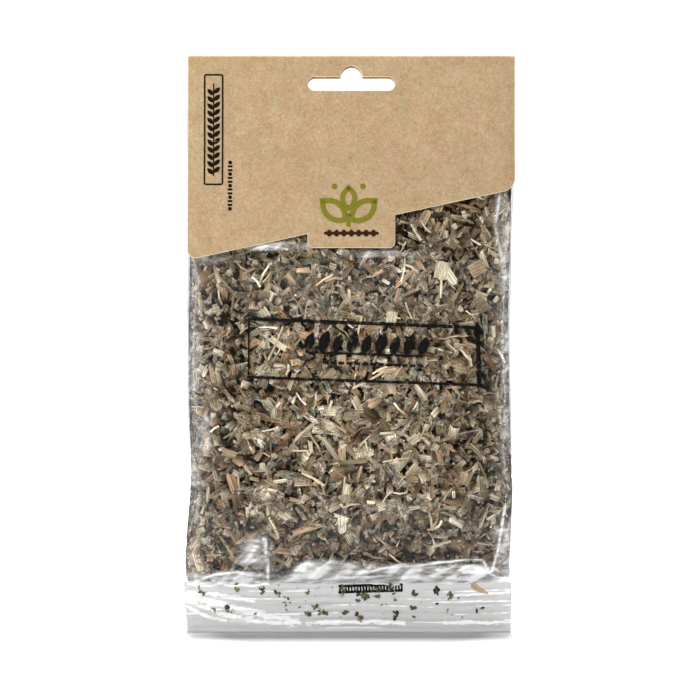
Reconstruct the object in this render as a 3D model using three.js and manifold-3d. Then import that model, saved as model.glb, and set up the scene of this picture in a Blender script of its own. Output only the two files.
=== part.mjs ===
// A hang packet of dried cut borage: a clear film pouch filled with chopped leaf and stem, closed
// under a folded kraft header card that has a punched slot for a display hook.
// Millimetres, +Z up, the front faces -Y. The origin is the top of the slot in the rear panel,
// where the hook bears, so everything else hangs below it.
import * as THREE from "three";
import { mergeVertices } from "three/addons/utils/BufferGeometryUtils.js";
import Module from "manifold-3d";

const wasm = await Module();
wasm.setup();

// ---------------------------------------------------------------- driving dimensions
const CARD = {
  halfWidth: 60, // the card is as wide as the flat pouch
  top: 4.6, // height of the fold above the hook
  thick: 0.5,
  hemAtMiddle: -57.6, // height of the front panel's slanted lower edge at x = 0
  hemRise: 0.218, // how much that edge climbs for each millimetre to the right
  cornerRadius: 4,
  tabHalfWidth: 16,
  tabBottom: -66.2,
  tabRadius: 2,
  backBottom: -43, // the rear panel's straight lower edge
  parallelGap: 0.25, // half the space between the panels round the slot
  joggleTop: -11, // the panels part here to take the pouch between them
  joggleBottom: -15,
  lowerClearance: { front: 0.2, rear: 0.55 }, // added below the glue; the rear lap seam lies there
  easeLength: 5, // the stretch in which that clearance opens
  bow: 0.22, // how far a panel wraps round the bulge, as a share of the bulge
  columns: 8, // flat strips across the card
  rows: 9, // and down each panel below the glue
};
const SLOT = {
  halfLength: 16,
  armTop: -4, // the long arms of the slot in the rear panel
  armHeight: 5.1,
  bumpRadius: 4, // the half-round in the middle, which the hook finds by itself
  frontShift: 0.75, // the front panel's slot sits this much higher than the rear one
};
const POUCH = {
  mouth: -15.5, // open upper edge, hidden between the panels
  collarBottom: -27, // the pouch is flat from its mouth to here
  fullFrom: -95, // it is fully round from here
  fullTo: -158, // to here
  sealTop: -189,
  bottom: -206.4,
  halfWidth: 60,
  waist: 1.7, // each side draws in this far as the pouch fills out
  halfDepth: 8.5,
  collarHalfDepth: 0.4,
  sealHalfDepth: 0.3,
  wall: 0.32,
  foldWall: 0.9, // wall at the side folds, measured across the pouch
  slitHalfDepth: 0.12, // half the open slit at the mouth
  segments: 14, // flat strips across each face
};
const SEAL = { ribPitch: 1.5, ribDepth: 0.3, thick: 0.55, bottomHalfWidth: 59.3, root: 1 };
const SEAM = { halfWidth: 5, rise: 0.35, top: -33, bottom: -186, steps: 26 };
const GLUE = { halfWidth: 50, top: -16.5, bottom: -25.5, thick: 0.15 };
const HERB = {
  top: -40,
  bottom: -186,
  filmGap: 0.75, // the pieces stop this far inside the pouch's outer face
  sideGap: 2.2, // and this far inside its side folds
  coreDepth: 1.8, // the packed core lies this far under the outermost pieces
  coreInset: 4, // and this far inside them at the sides, the top and the bottom
  edge: 5, // the outermost chips are centred this far in
  chipThick: 1.5,
  chipLength: [14, 20],
  chipWidth: [9, 12],
  chipTilt: [0.03, 0.16],
  tries: 8, // a chip that would reach through the film is cut afresh this often
  columnPitch: 14.2,
  rowPitch: 10.8,
  jitter: 1.6,
  stickLength: [9, 17],
  stickRadius: [0.7, 1.2],
  sticksEachSide: 9,
  seed: 41,
};
const COLOURS = { kraft: 0xc3a680, film: 0xe9eded, herb: 0x81765f, glue: 0xece5d2 };

// ---------------------------------------------------------------- small helpers
const clamp01 = (t) => Math.min(1, Math.max(0, t));
const smooth = (t) => clamp01(t) ** 2 * (3 - 2 * clamp01(t));
const mix = (a, b, t) => a + (b - a) * t;

// A seeded random source, so that every build gives the same pieces.
function randomSource(seed) {
  let state = seed >>> 0;
  return (low = 0, high = 1) => {
    state = (state + 0x6d2b79f5) >>> 0;
    let t = state;
    t = Math.imul(t ^ (t >>> 15), t | 1);
    t ^= t + Math.imul(t ^ (t >>> 7), t | 61);
    return low + (((t ^ (t >>> 14)) >>> 0) / 4294967296) * (high - low);
  };
}

// A closed three.js geometry as a manifold-3d solid.
function solidOf(geometry) {
  const bare = new THREE.BufferGeometry().setAttribute("position", geometry.getAttribute("position"));
  if (geometry.index) bare.setIndex(geometry.index);
  const merged = mergeVertices(bare, 1e-4);
  return new wasm.Manifold(
    new wasm.Mesh({
      numProp: 3,
      vertProperties: new Float32Array(merged.getAttribute("position").array),
      triVerts: new Uint32Array(merged.index.array),
    }),
  );
}

// A manifold-3d solid as a three.js geometry.
function geometryOf(solid) {
  const mesh = solid.getMesh();
  const geometry = new THREE.BufferGeometry();
  geometry.setAttribute("position", new THREE.BufferAttribute(new Float32Array(mesh.vertProperties), 3));
  geometry.setIndex(new THREE.BufferAttribute(new Uint32Array(mesh.triVerts), 1));
  geometry.computeVertexNormals();
  return geometry;
}

// A closed skin over rings of points: each ring joins the next, and the first and last are capped.
// Rings run so that the faces point outwards; each ring is a strip of top points then bottom points.
function skinOver(rings) {
  const count = rings[0].length;
  const points = rings.flat();
  const faces = [];
  for (let r = 0; r + 1 < rings.length; r++) {
    for (let i = 0; i < count; i++) {
      const a = r * count + i;
      const b = r * count + ((i + 1) % count);
      faces.push([a, b, b + count], [a, b + count, a + count]);
    }
  }
  const last = (rings.length - 1) * count;
  faces.push(...capOf(count, 0, true), ...capOf(count, last, false));
  return meshFrom(points, faces);
}

// Closes a ring that is symmetric about its first and middle points with a ladder of triangles.
function capOf(count, start, reversed) {
  const faces = [];
  const add = (a, b, c) => {
    const face = reversed ? [a, c, b] : [a, b, c];
    faces.push(face.map((index) => start + index));
  };
  const half = count / 2;
  for (let i = 0; i < half; i++) {
    const j = (count - i) % count;
    const next = count - i - 1;
    if (i > 0) add(i, i + 1, j);
    if (i + 1 < half) add(i + 1, next, j);
  }
  return faces;
}

function meshFrom(points, faces) {
  const geometry = new THREE.BufferGeometry();
  geometry.setAttribute("position", new THREE.Float32BufferAttribute(points.flat(), 3));
  geometry.setIndex(faces.flat());
  return geometry;
}

// An outline drawn in x and z, given depth along y from near to far.
function prism(shape, near, far) {
  const settings = { depth: far - near, bevelEnabled: false, curveSegments: 8 };
  const geometry = new THREE.ExtrudeGeometry(shape, settings);
  geometry.rotateX(Math.PI / 2); // the outline's y becomes z and the depth runs to -y
  geometry.translate(0, far, 0);
  return solidOf(geometry);
}

// ---------------------------------------------------------------- the pouch's shape
// Half the pouch's depth on its centre line.
function pouchHalfDepth(z) {
  const { collarBottom, fullFrom, fullTo, sealTop, collarHalfDepth, sealHalfDepth, halfDepth } = POUCH;
  if (z >= collarBottom) return collarHalfDepth;
  if (z > fullFrom) {
    const t = (collarBottom - z) / (collarBottom - fullFrom);
    return mix(collarHalfDepth, halfDepth, Math.sin((t * Math.PI) / 2));
  }
  if (z >= fullTo) return halfDepth;
  const t = clamp01((fullTo - z) / (fullTo - sealTop));
  return mix(sealHalfDepth, halfDepth, (1 - t ** 2.3) ** 0.8);
}

function pouchHalfWidth(z) {
  const t = clamp01((POUCH.collarBottom - z) / (POUCH.collarBottom - POUCH.sealTop));
  return POUCH.halfWidth - POUCH.waist * Math.sin(Math.PI * t) ** 0.7;
}

// The cross-section is a full lens: round over most of its width, with sharp folds at the sides.
const lens = (share) => (1 - Math.min(1, Math.abs(share)) ** 3.2) ** 0.62;

// Half the depth at x and z of a surface that lies inset under the pouch's outer face.
function insetDepth(x, z, inset, sideInset) {
  return Math.max(0, pouchHalfDepth(z) - inset) * lens(x / (pouchHalfWidth(z) - sideInset));
}

// The collar's cross-section is flat, and thins only close to its side folds.
const slab = (share) => Math.min(1, 12 * (1 - Math.abs(share)));

// One closed ring round the pouch at height z: along the front to the right, and back along the rear.
function pouchRing(z, halfWidth, halfDepth, segments = POUCH.segments) {
  const across = [];
  for (let i = 0; i <= segments; i++) across.push(Math.sin(mix(-0.5, 0.5, i / segments) * Math.PI));
  const section = halfDepth <= POUCH.collarHalfDepth ? slab : lens;
  const depth = (s) => halfDepth * section(s);
  const front = across.map((s) => [s * halfWidth, -depth(s), z]);
  const rear = across.slice(1, -1).reverse().map((s) => [s * halfWidth, depth(s), z]);
  return [...front, ...rear];
}

// ---------------------------------------------------------------- film pouch
function pouchHeights() {
  const { mouth, collarBottom, fullFrom, fullTo, sealTop } = POUCH;
  const heights = [mouth, mix(mouth, collarBottom, 0.5), collarBottom];
  for (let i = 1; i <= 10; i++) heights.push(mix(collarBottom, fullFrom, i / 10));
  for (let i = 1; i <= 3; i++) heights.push(mix(fullFrom, fullTo, i / 3));
  for (let i = 1; i <= 9; i++) heights.push(mix(fullTo, sealTop, Math.sin((i / 9) * Math.PI * 0.5)));
  return heights;
}

function filmPouch() {
  const heights = pouchHeights();
  const outer = heights.map((z) => pouchRing(z, pouchHalfWidth(z), pouchHalfDepth(z)));
  const inside = (z) => pouchHalfDepth(z) - POUCH.wall;
  const hollowDepth = (z) => (z < POUCH.collarBottom ? inside(z) : POUCH.slitHalfDepth);
  const hollow = heights
    .filter((z) => z >= POUCH.collarBottom || inside(z) > POUCH.slitHalfDepth)
    .map((z) => pouchRing(z, pouchHalfWidth(z) - POUCH.foldWall, hollowDepth(z)));
  hollow[0] = hollow[0].map(([x, y]) => [x, y, POUCH.mouth + 1]); // the hollow runs out through the mouth
  const shell = solidOf(skinOver(outer.reverse())).subtract(solidOf(skinOver(hollow.reverse())));
  return shell.add(bottomSeal()).add(rearSeam());
}

// The welded bottom seal: both layers pressed into one ribbed strip, rooted in the closed end above it.
function bottomSeal() {
  const bottom = POUCH.bottom;
  const height = POUCH.sealTop + SEAL.root - bottom;
  const halfRibs = Math.round(height / (SEAL.ribPitch / 2));
  const line = [];
  for (let i = 0; i <= halfRibs; i++) {
    line.push([(i % 2 ? -0.5 : 0.5) * SEAL.ribDepth, bottom + height * (1 - i / halfRibs)]);
  }
  const halfWidth = (z) => mix(SEAL.bottomHalfWidth, POUCH.halfWidth, (z - bottom) / height);
  const section = (side) => [
    ...line.map(([y, z]) => [side * halfWidth(z), y - SEAL.thick / 2, z]),
    ...line.toReversed().map(([y, z]) => [side * halfWidth(z), y + SEAL.thick / 2, z]),
  ];
  return solidOf(ladderBlock(section(-1), section(1), line.length));
}

// A block between two matching outlines, each a line of points down one face and up the other.
function ladderBlock(left, right, rows) {
  const count = left.length;
  const faces = [];
  for (let i = 0; i < count; i++) {
    const j = (i + 1) % count;
    faces.push([i, j, count + j], [i, count + j, count + i]);
  }
  for (let i = 0; i + 1 < rows; i++) {
    const a = i;
    const b = i + 1;
    const c = count - 1 - i;
    const d = count - 2 - i;
    faces.push([a, d, b], [a, c, d], [count + a, count + b, count + d], [count + a, count + d, count + c]);
  }
  return meshFrom([...left, ...right], faces);
}

// The upright lap seam on the rear, a second layer of film welded along the centre line.
function rearSeam() {
  const rings = [];
  for (let i = 0; i <= SEAM.steps; i++) {
    const z = mix(SEAM.bottom, SEAM.top, i / SEAM.steps);
    const depth = pouchHalfDepth(z);
    const [low, high] = [depth - POUCH.wall / 2, depth + SEAM.rise];
    const { halfWidth } = SEAM;
    rings.push([
      [-halfWidth, low, z],
      [halfWidth, low, z],
      [halfWidth, high, z],
      [-halfWidth, high, z],
    ]);
  }
  return solidOf(skinOver(rings));
}

// ---------------------------------------------------------------- header card
// Distance of a panel's inner face from the centre plane.
function panelInside(x, z, lowerClearance) {
  const { parallelGap, joggleTop, joggleBottom, bow } = CARD;
  if (z >= joggleTop) return parallelGap;
  const seated = POUCH.collarHalfDepth + GLUE.thick;
  if (z >= joggleBottom) return mix(parallelGap, seated, (joggleTop - z) / (joggleTop - joggleBottom));
  const bulge = pouchHalfDepth(z) - POUCH.collarHalfDepth;
  const ease = smooth((POUCH.collarBottom - z) / CARD.easeLength) * lowerClearance;
  return seated + bulge + ease - bow * bulge * (x / CARD.halfWidth) ** 2;
}

// The height of the front panel's slanted lower edge.
const hem = (x) => CARD.hemAtMiddle + CARD.hemRise * x;

// The folded sheet before it is trimmed: stations from below the front hem, over the fold, to the rear.
function foldedSheet() {
  const { halfWidth, top, thick, parallelGap, joggleTop, joggleBottom, lowerClearance, rows } = CARD;
  const foldCentre = top - thick - parallelGap;
  const lowest = hem(-halfWidth) - 1;
  const down = [foldCentre, joggleTop, joggleBottom, POUCH.collarBottom];
  for (let i = 1; i <= rows; i++) down.push(mix(POUCH.collarBottom, lowest, i / rows));
  const columns = [];
  for (let i = 0; i <= CARD.columns; i++) columns.push(mix(-halfWidth, halfWidth, i / CARD.columns));
  const panel = (side, z, lift) => {
    const lower = side < 0 ? lowerClearance.front : lowerClearance.rear;
    return columns.map((x) => [x, side * (panelInside(x, z, lower) + lift), z]);
  };
  const fold = (radius) =>
    [45, 90, 135].map((degrees) => {
      const turn = THREE.MathUtils.degToRad(degrees);
      return columns.map((x) => [x, -radius * Math.cos(turn), foldCentre + radius * Math.sin(turn)]);
    });
  const layer = (lift) => [
    ...down.toReversed().map((z) => panel(-1, z, lift)),
    ...fold(parallelGap + lift),
    ...down.map((z) => panel(1, z, lift)),
  ];
  const [outside, inside] = [layer(thick), layer(0)];
  const stations = outside.map((row, i) => [...row, ...inside[i].toReversed()]);
  return solidOf(skinOver(stations));
}

// The front panel's outline: left side, slanted hem, the tab, the rest of the hem, right side.
function frontOutline() {
  const { halfWidth, cornerRadius, tabHalfWidth, tabBottom, tabRadius } = CARD;
  const above = CARD.top + 1;
  const turnIn = halfWidth - cornerRadius;
  const shape = new THREE.Shape();
  shape.moveTo(-halfWidth, above);
  shape.lineTo(-halfWidth, hem(-halfWidth) + cornerRadius);
  shape.quadraticCurveTo(-halfWidth, hem(-halfWidth), -turnIn, hem(-turnIn));
  shape.lineTo(-tabHalfWidth, hem(-tabHalfWidth));
  addRoundedHem(shape, tabHalfWidth, tabBottom, tabRadius);
  shape.lineTo(tabHalfWidth, hem(tabHalfWidth));
  shape.lineTo(turnIn, hem(turnIn));
  shape.quadraticCurveTo(halfWidth, hem(halfWidth), halfWidth, hem(halfWidth) + cornerRadius);
  shape.lineTo(halfWidth, above);
  return shape;
}

function backOutline() {
  const { halfWidth, cornerRadius, backBottom } = CARD;
  const above = CARD.top + 1;
  const shape = new THREE.Shape();
  shape.moveTo(-halfWidth, above);
  addRoundedHem(shape, halfWidth, backBottom, cornerRadius);
  shape.lineTo(halfWidth, above);
  return shape;
}

// Takes an outline down to a level lower edge with round corners, along it, and up on the other side.
function addRoundedHem(shape, halfWidth, level, radius) {
  const quarter = Math.PI / 2;
  shape.lineTo(-halfWidth, level + radius);
  shape.absarc(radius - halfWidth, level + radius, radius, 2 * quarter, 3 * quarter, false);
  shape.absarc(halfWidth - radius, level + radius, radius, 3 * quarter, 4 * quarter, false);
}

// The hook slot: two round-ended arms with a half-round above their middle.
function slotOutline(shift) {
  const { halfLength, armTop, armHeight, bumpRadius } = SLOT;
  const top = armTop + shift;
  const end = armHeight / 2;
  const shape = new THREE.Shape();
  shape.absarc(end - halfLength, top - end, end, 0.5 * Math.PI, 1.5 * Math.PI, false);
  shape.absarc(halfLength - end, top - end, end, 1.5 * Math.PI, 2.5 * Math.PI, false);
  shape.absarc(0, top, bumpRadius, 0, Math.PI, false);
  return shape;
}

function headerCard() {
  const reach = 2 * POUCH.halfDepth;
  const trimmed = prism(frontOutline(), -reach, 0).add(prism(backOutline(), 0, reach));
  return foldedSheet()
    .intersect(trimmed)
    .subtract(prism(slotOutline(SLOT.frontShift), -reach, 0))
    .subtract(prism(slotOutline(0), 0, reach));
}

// ---------------------------------------------------------------- glue between card and pouch
function glueStrip() {
  return new THREE.BoxGeometry(2 * GLUE.halfWidth, GLUE.thick, GLUE.top - GLUE.bottom);
}

// ---------------------------------------------------------------- dried borage
const herbLimit = (x, z) => insetDepth(x, z, HERB.filmGap, HERB.sideGap);

// The packed middle of the fill, which the pieces stand out of.
function herbCore() {
  const rows = 8;
  const segments = 8;
  const rings = [];
  for (let r = 0; r <= rows; r++) {
    const z = mix(HERB.bottom + HERB.coreInset, HERB.top - HERB.coreInset, r / rows);
    const depth = Math.max(0.8, pouchHalfDepth(z) - HERB.filmGap - HERB.coreDepth);
    rings.push(pouchRing(z, pouchHalfWidth(z) - HERB.sideGap - HERB.coreInset, depth, segments));
  }
  return solidOf(skinOver(rings));
}

// A flat chip of cut leaf: an irregular outline with straight cut edges.
function chipGeometry(random) {
  const [length, width] = [random(...HERB.chipLength), random(...HERB.chipWidth)];
  const corners = random() < 0.3 ? 5 : 4;
  const points = [];
  for (let i = 0; i < corners; i++) {
    const angle = ((i + random(-0.22, 0.22)) / corners) * 2 * Math.PI + Math.PI / 4;
    const reach = random(0.41, 0.575);
    points.push(new THREE.Vector2(Math.cos(angle) * length * reach, Math.sin(angle) * width * reach));
  }
  const settings = { depth: HERB.chipThick, bevelEnabled: false };
  const geometry = new THREE.ExtrudeGeometry(new THREE.Shape(points), settings);
  return geometry.translate(0, 0, -HERB.chipThick / 2);
}

// A bit of stem: a slim four-sided rod.
function stickGeometry(random) {
  const radius = random(...HERB.stickRadius);
  const farRadius = radius * random(0.7, 1);
  const geometry = new THREE.CylinderGeometry(radius, farRadius, random(...HERB.stickLength), 4, 1);
  return geometry.rotateZ(Math.PI / 2).scale(1, 1, 0.8);
}

// Turns a piece to lie on one face of the fill at x and z, then presses it in until nothing stands proud.
function layOnFill(geometry, x, z, side, random) {
  const step = 0.5;
  const slopeX = (herbLimit(x + step, z) - herbLimit(x - step, z)) / (2 * step);
  const slopeZ = (herbLimit(x, z + step) - herbLimit(x, z - step)) / (2 * step);
  const outward = new THREE.Vector3(-slopeX, side, -slopeZ).normalize();
  const turn = new THREE.Quaternion().setFromAxisAngle(new THREE.Vector3(0, 0, 1), random(0, 2 * Math.PI));
  const about = random(0, 2 * Math.PI);
  const tiltAxis = new THREE.Vector3(Math.cos(about), Math.sin(about), 0);
  const tilt = new THREE.Quaternion().setFromAxisAngle(tiltAxis, random(...HERB.chipTilt));
  const face = new THREE.Quaternion().setFromUnitVectors(new THREE.Vector3(0, 0, 1), outward);
  geometry.applyQuaternion(face.multiply(tilt).multiply(turn));
  geometry.translate(x, side * herbLimit(x, z), z);
  const place = geometry.getAttribute("position");
  let proud = 0;
  for (let i = 0; i < place.count; i++) {
    proud = Math.max(proud, side * place.getY(i) - herbLimit(place.getX(i), place.getZ(i)));
  }
  return geometry.translate(0, -side * proud, 0);
}

// True if every corner of a laid piece is inside the space that the fill may take.
function insidePouch(geometry) {
  const place = geometry.getAttribute("position");
  for (let i = 0; i < place.count; i++) {
    const [x, y, z] = [place.getX(i), place.getY(i), place.getZ(i)];
    if (z > HERB.top || z < HERB.bottom || Math.abs(y) > herbLimit(x, z) + 0.01) return false;
  }
  return true;
}

// Chips in a jittered grid over both faces, with bits of stem strewn among them.
function driedBorage() {
  const random = randomSource(HERB.seed);
  const parts = [herbCore()];
  const lay = (make, x, z, side) => {
    for (let i = 0; i < HERB.tries; i++) {
      const piece = layOnFill(make(random), x, z, side, random);
      if (insidePouch(piece)) return parts.push(solidOf(piece));
    }
  };
  const { top, bottom, edge, jitter } = HERB;
  const rows = Math.round((top - bottom - 2 * edge) / HERB.rowPitch);
  for (const side of [-1, 1]) {
    for (let row = 0; row <= rows; row++) {
      const z = mix(top - edge, bottom + edge, row / rows);
      const reach = pouchHalfWidth(z) - HERB.sideGap - edge;
      const columns = Math.round((2 * reach) / HERB.columnPitch) - (row % 2);
      for (let column = 0; column <= columns; column++) {
        const x = mix(-reach, reach, column / columns);
        lay(chipGeometry, x + random(-jitter, jitter), z + random(-jitter, jitter), side);
      }
    }
    for (let i = 0; i < HERB.sticksEachSide; i++) {
      lay(stickGeometry, random(-46, 46), random(bottom + 12, top - 12), side);
    }
  }
  const bodies = wasm.Manifold.union(parts).decompose();
  return bodies.sort((a, b) => b.volume() - a.volume())[0];
}

// ---------------------------------------------------------------- assembly
const finish = {
  kraft: new THREE.MeshStandardMaterial({ color: COLOURS.kraft, roughness: 0.9, metalness: 0 }),
  film: new THREE.MeshStandardMaterial({
    color: COLOURS.film,
    roughness: 0.12,
    metalness: 0,
    transparent: true,
    opacity: 0.28,
  }),
  herb: new THREE.MeshStandardMaterial({
    color: COLOURS.herb,
    roughness: 0.95,
    metalness: 0,
    flatShading: true,
  }),
  glue: new THREE.MeshStandardMaterial({ color: COLOURS.glue, roughness: 0.5, metalness: 0 }),
};

function named(name, geometry, material) {
  const mesh = new THREE.Mesh(geometry, material);
  mesh.name = name;
  return mesh;
}

const packet = new THREE.Group();
packet.name = "herb_packet";
packet.add(named("header_card", geometryOf(headerCard()), finish.kraft));
packet.add(named("film_pouch", geometryOf(filmPouch()), finish.film));
packet.add(named("dried_borage", geometryOf(driedBorage()), finish.herb));
for (const [name, side] of [["glue_strip_front", -1], ["glue_strip_back", 1]]) {
  const strip = named(name, glueStrip(), finish.glue);
  const middle = POUCH.collarHalfDepth + GLUE.thick / 2;
  strip.position.set(0, side * middle, (GLUE.top + GLUE.bottom) / 2);
  packet.add(strip);
}

export default packet;
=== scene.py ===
# %% [markdown]
# # A hang packet of dried cut borage
# The object is a clear film pouch full of chopped borage, closed under a folded kraft card that
# hangs on a hook. The engineering model already has every piece at its real size and place. This
# script dresses it: it keeps that frame and gives each piece the surface that the eye expects.
# Lengths are thought of in millimetres, and `MM` turns them into Blender's metres.

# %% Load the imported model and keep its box
import math

import bpy
import numpy as np
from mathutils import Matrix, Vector


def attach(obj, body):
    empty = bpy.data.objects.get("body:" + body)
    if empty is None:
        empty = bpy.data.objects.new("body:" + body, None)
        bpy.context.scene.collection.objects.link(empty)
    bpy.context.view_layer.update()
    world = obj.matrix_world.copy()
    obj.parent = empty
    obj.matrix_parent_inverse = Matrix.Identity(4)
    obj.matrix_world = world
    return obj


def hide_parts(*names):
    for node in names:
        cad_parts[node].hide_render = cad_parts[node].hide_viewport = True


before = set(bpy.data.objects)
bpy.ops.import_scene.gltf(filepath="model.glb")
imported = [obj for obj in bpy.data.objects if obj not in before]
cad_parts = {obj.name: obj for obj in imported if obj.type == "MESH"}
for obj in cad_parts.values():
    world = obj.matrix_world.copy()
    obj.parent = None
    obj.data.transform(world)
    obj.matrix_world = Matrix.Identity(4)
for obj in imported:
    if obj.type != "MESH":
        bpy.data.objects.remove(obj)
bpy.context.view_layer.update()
MM = 0.001
print("nodes:", sorted(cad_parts))

# %% [markdown]
# ## Sizes that the pieces share
# The card and the pouch are shaped by a few lengths, the same that the engineering model is driven
# by. Everything that is drawn on them or packed into them is worked out from these, so that a print
# lies on the film and the herb stays inside it.

# %% Sizes of the card and the pouch, in millimetres
CARD_HALF_WIDTH = 60.0
CARD_TOP = 4.6
CARD_THICK = 0.5
CARD_GAP = 0.25  # half the space between the panels round the slot
CARD_SEATED = 0.55  # the same where the pouch is glued in
CARD_BACK_BOTTOM = -43.0
CARD_CORNER = 4.0
HEM_AT_MIDDLE = -57.6
HEM_RISE = 0.218
TAB_HALF_WIDTH = 16.0
TAB_BOTTOM = -66.2
TAB_CORNER = 2.0
SLOT_HALF_LENGTH = 16.0
SLOT_ARM_TOP = -4.0
SLOT_ARM_HEIGHT = 5.1
SLOT_BUMP_RADIUS = 4.0
SLOT_FRONT_SHIFT = 0.75

POUCH_MOUTH = -15.5
COLLAR_BOTTOM = -27.0
FULL_FROM = -95.0
FULL_TO = -158.0
SEAL_TOP = -189.0
POUCH_BOTTOM = -206.4
POUCH_HALF_WIDTH = 60.0
POUCH_WAIST = 1.7
POUCH_HALF_DEPTH = 8.5
COLLAR_HALF_DEPTH = 0.4
SEAL_HALF_DEPTH = 0.3
HERB_TOP = -38.5
print("card", 2 * CARD_HALF_WIDTH, "mm wide, pouch", POUCH_MOUTH - POUCH_BOTTOM, "mm tall")

# %% The pouch's shape as formulas
def mix(a, b, t):
    return a + (b - a) * t


def ramp(t):
    """A smooth step from 0 to 1."""
    t = np.clip(t, 0.0, 1.0)
    return t * t * (3 - 2 * t)


def pouch_half_depth(z):
    """Half the pouch's depth on its centre line at height z."""
    fill = np.clip((COLLAR_BOTTOM - z) / (COLLAR_BOTTOM - FULL_FROM), 0, 1)
    upper = mix(COLLAR_HALF_DEPTH, POUCH_HALF_DEPTH, np.sin(fill * math.pi / 2))
    close = np.clip((FULL_TO - z) / (FULL_TO - SEAL_TOP), 0, 1)
    lower = mix(SEAL_HALF_DEPTH, POUCH_HALF_DEPTH, (1 - close**2.3) ** 0.8)
    return np.where(z > FULL_TO, upper, lower)


def pouch_half_width(z):
    fill = np.clip((COLLAR_BOTTOM - z) / (COLLAR_BOTTOM - SEAL_TOP), 0, 1)
    return POUCH_HALF_WIDTH - POUCH_WAIST * np.sin(math.pi * fill) ** 0.7


def lens(share):
    """The section of a full pouch: nearly level over the middle, with sharp folds at the sides."""
    return (1 - np.minimum(1, np.abs(share)) ** 3.2) ** 0.62


# The real pouch is not quite even: it swells past the plain outline on the left and pulls in on
# the right. Each row is a height, then how far the left and the right edge stand out there.
SWELL = np.array(
    [
        (-27, 0.3, 0.0), (-71, 1.2, 0.0), (-89, 1.9, -0.4), (-111, 1.9, -0.1), (-124, 1.8, 0.3),
        (-133, 1.5, 0.4), (-146, 0.6, 0.65), (-155, 0.8, 0.8), (-164, 1.3, 0.3), (-172, 1.8, -0.35),
        (-181, 1.85, -1.1), (-190, 1.5, -1.3), (-198, 1.9, -0.7), (-203, 1.8, -0.3), (-208, 1.6, -0.2),
    ]
)[::-1]


def swell(x, z):
    """How far a point of the plain pouch moves sideways to lie in the real one."""
    share = x / POUCH_HALF_WIDTH
    left = np.interp(z, SWELL[:, 0], SWELL[:, 1]) * np.clip(-share, 0, 1) ** 2
    right = np.interp(z, SWELL[:, 0], SWELL[:, 2]) * np.clip(share, 0, 1) ** 2
    return right - left


print("pouch depth at its fullest:", round(2 * float(pouch_half_depth(FULL_FROM)), 1), "mm")

# %% [markdown]
# ## Camera, light and floor
# A packet like this is pictured straight from the front with a long lens, so that its edges stay
# parallel. A soft key lamp from the upper left gives the herb its shadows and puts white glints on
# the film. Two weak tall lamps line its sides, and a strong one far overhead, a little behind the
# packet, lights the pale floor, which takes the soft shadow under the bottom seal.

# %% Camera
CAMERA_DISTANCE = 1600.0
VIEW_WIDTH = 256.9  # width of the view at the packet
VIEW_CENTRE = (-0.5, -103.5)  # x and z

bpy.ops.object.select_all(action="DESELECT")
bpy.ops.object.camera_add(
    location=(VIEW_CENTRE[0] * MM, -CAMERA_DISTANCE * MM, VIEW_CENTRE[1] * MM),
    rotation=(math.pi / 2, 0, 0),
)
camera = bpy.context.object
camera.name = "camera"
camera.data.angle = 2 * math.atan(VIEW_WIDTH / 2 / CAMERA_DISTANCE)
camera.data.clip_start = 0.01
bpy.context.scene.camera = camera
bpy.context.scene.view_settings.view_transform = "Standard"
print("camera", CAMERA_DISTANCE, "mm in front of the packet")

# %% Lamps and a white surround
def add_softbox(name, place, target, size, power):
    """A rectangular lamp at place, turned to face target, both in millimetres."""
    place, target = Vector(place) * MM, Vector(target) * MM
    aim = (target - place).to_track_quat("-Z", "Y")
    bpy.ops.object.light_add(type="AREA", location=place, rotation=aim.to_euler())
    lamp = bpy.context.object
    lamp.name = name
    lamp.data.shape = "RECTANGLE"
    lamp.data.size = size[0] * MM
    lamp.data.size_y = size[1] * MM
    lamp.data.energy = power
    return lamp


PACKET_MIDDLE = (0, 0, -100)
PACKET_FOOT = (0, 0, -200)
SQUARE_BOX, TALL_BOX, OVERHEAD_BOX = (220, 220), (120, 420), (260, 560)
add_softbox("softbox_key", (-500, -800, 500), PACKET_MIDDLE, SQUARE_BOX, 12.2)
add_softbox("softbox_left", (-900, -420, 0), PACKET_MIDDLE, TALL_BOX, 0.8)
add_softbox("softbox_right", (880, -460, -40), PACKET_MIDDLE, TALL_BOX, 1.2)
add_softbox("softbox_behind", (0, 600, 2600), PACKET_FOOT, OVERHEAD_BOX, 250.0)


def make_world():
    """White where the camera looks past the packet, and a dimmer grey for light and reflections."""
    world = bpy.data.worlds.new("studio")
    bpy.context.scene.world = world
    world.use_nodes = True
    nodes, links = world.node_tree.nodes, world.node_tree.links
    nodes.clear()
    blend = nodes.new("ShaderNodeMixShader")
    links.new(nodes.new("ShaderNodeLightPath").outputs["Is Camera Ray"], blend.inputs["Fac"])
    lit, seen = ((1.0, 0.985, 0.96, 1), 0.07), ((1, 1, 1, 1), 1.05)
    for place, (colour, strength) in ((1, lit), (2, seen)):
        sky = nodes.new("ShaderNodeBackground")
        sky.inputs["Color"].default_value = colour
        sky.inputs["Strength"].default_value = strength
        links.new(sky.outputs[0], blend.inputs[place])
    links.new(blend.outputs[0], nodes.new("ShaderNodeOutputWorld").inputs["Surface"])


make_world()

# %% [markdown]
# ## Helpers for materials and pieces
# Colours are written as the hex values that a colour picker shows and are turned into the linear
# values that Blender calculates with. `add_node` adds one node with its settings and links. The
# piece helpers hold the steps that many pieces go through, such as giving a sheet its thickness.

# %% Colour and node helpers
def linear(code):
    """Linear red, green, blue and alpha of an sRGB hex code."""
    parts = [int(code.lstrip("#")[i : i + 2], 16) / 255 for i in (0, 2, 4)]
    return tuple(c / 12.92 if c <= 0.04045 else ((c + 0.055) / 1.055) ** 2.4 for c in parts) + (1.0,)


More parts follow.
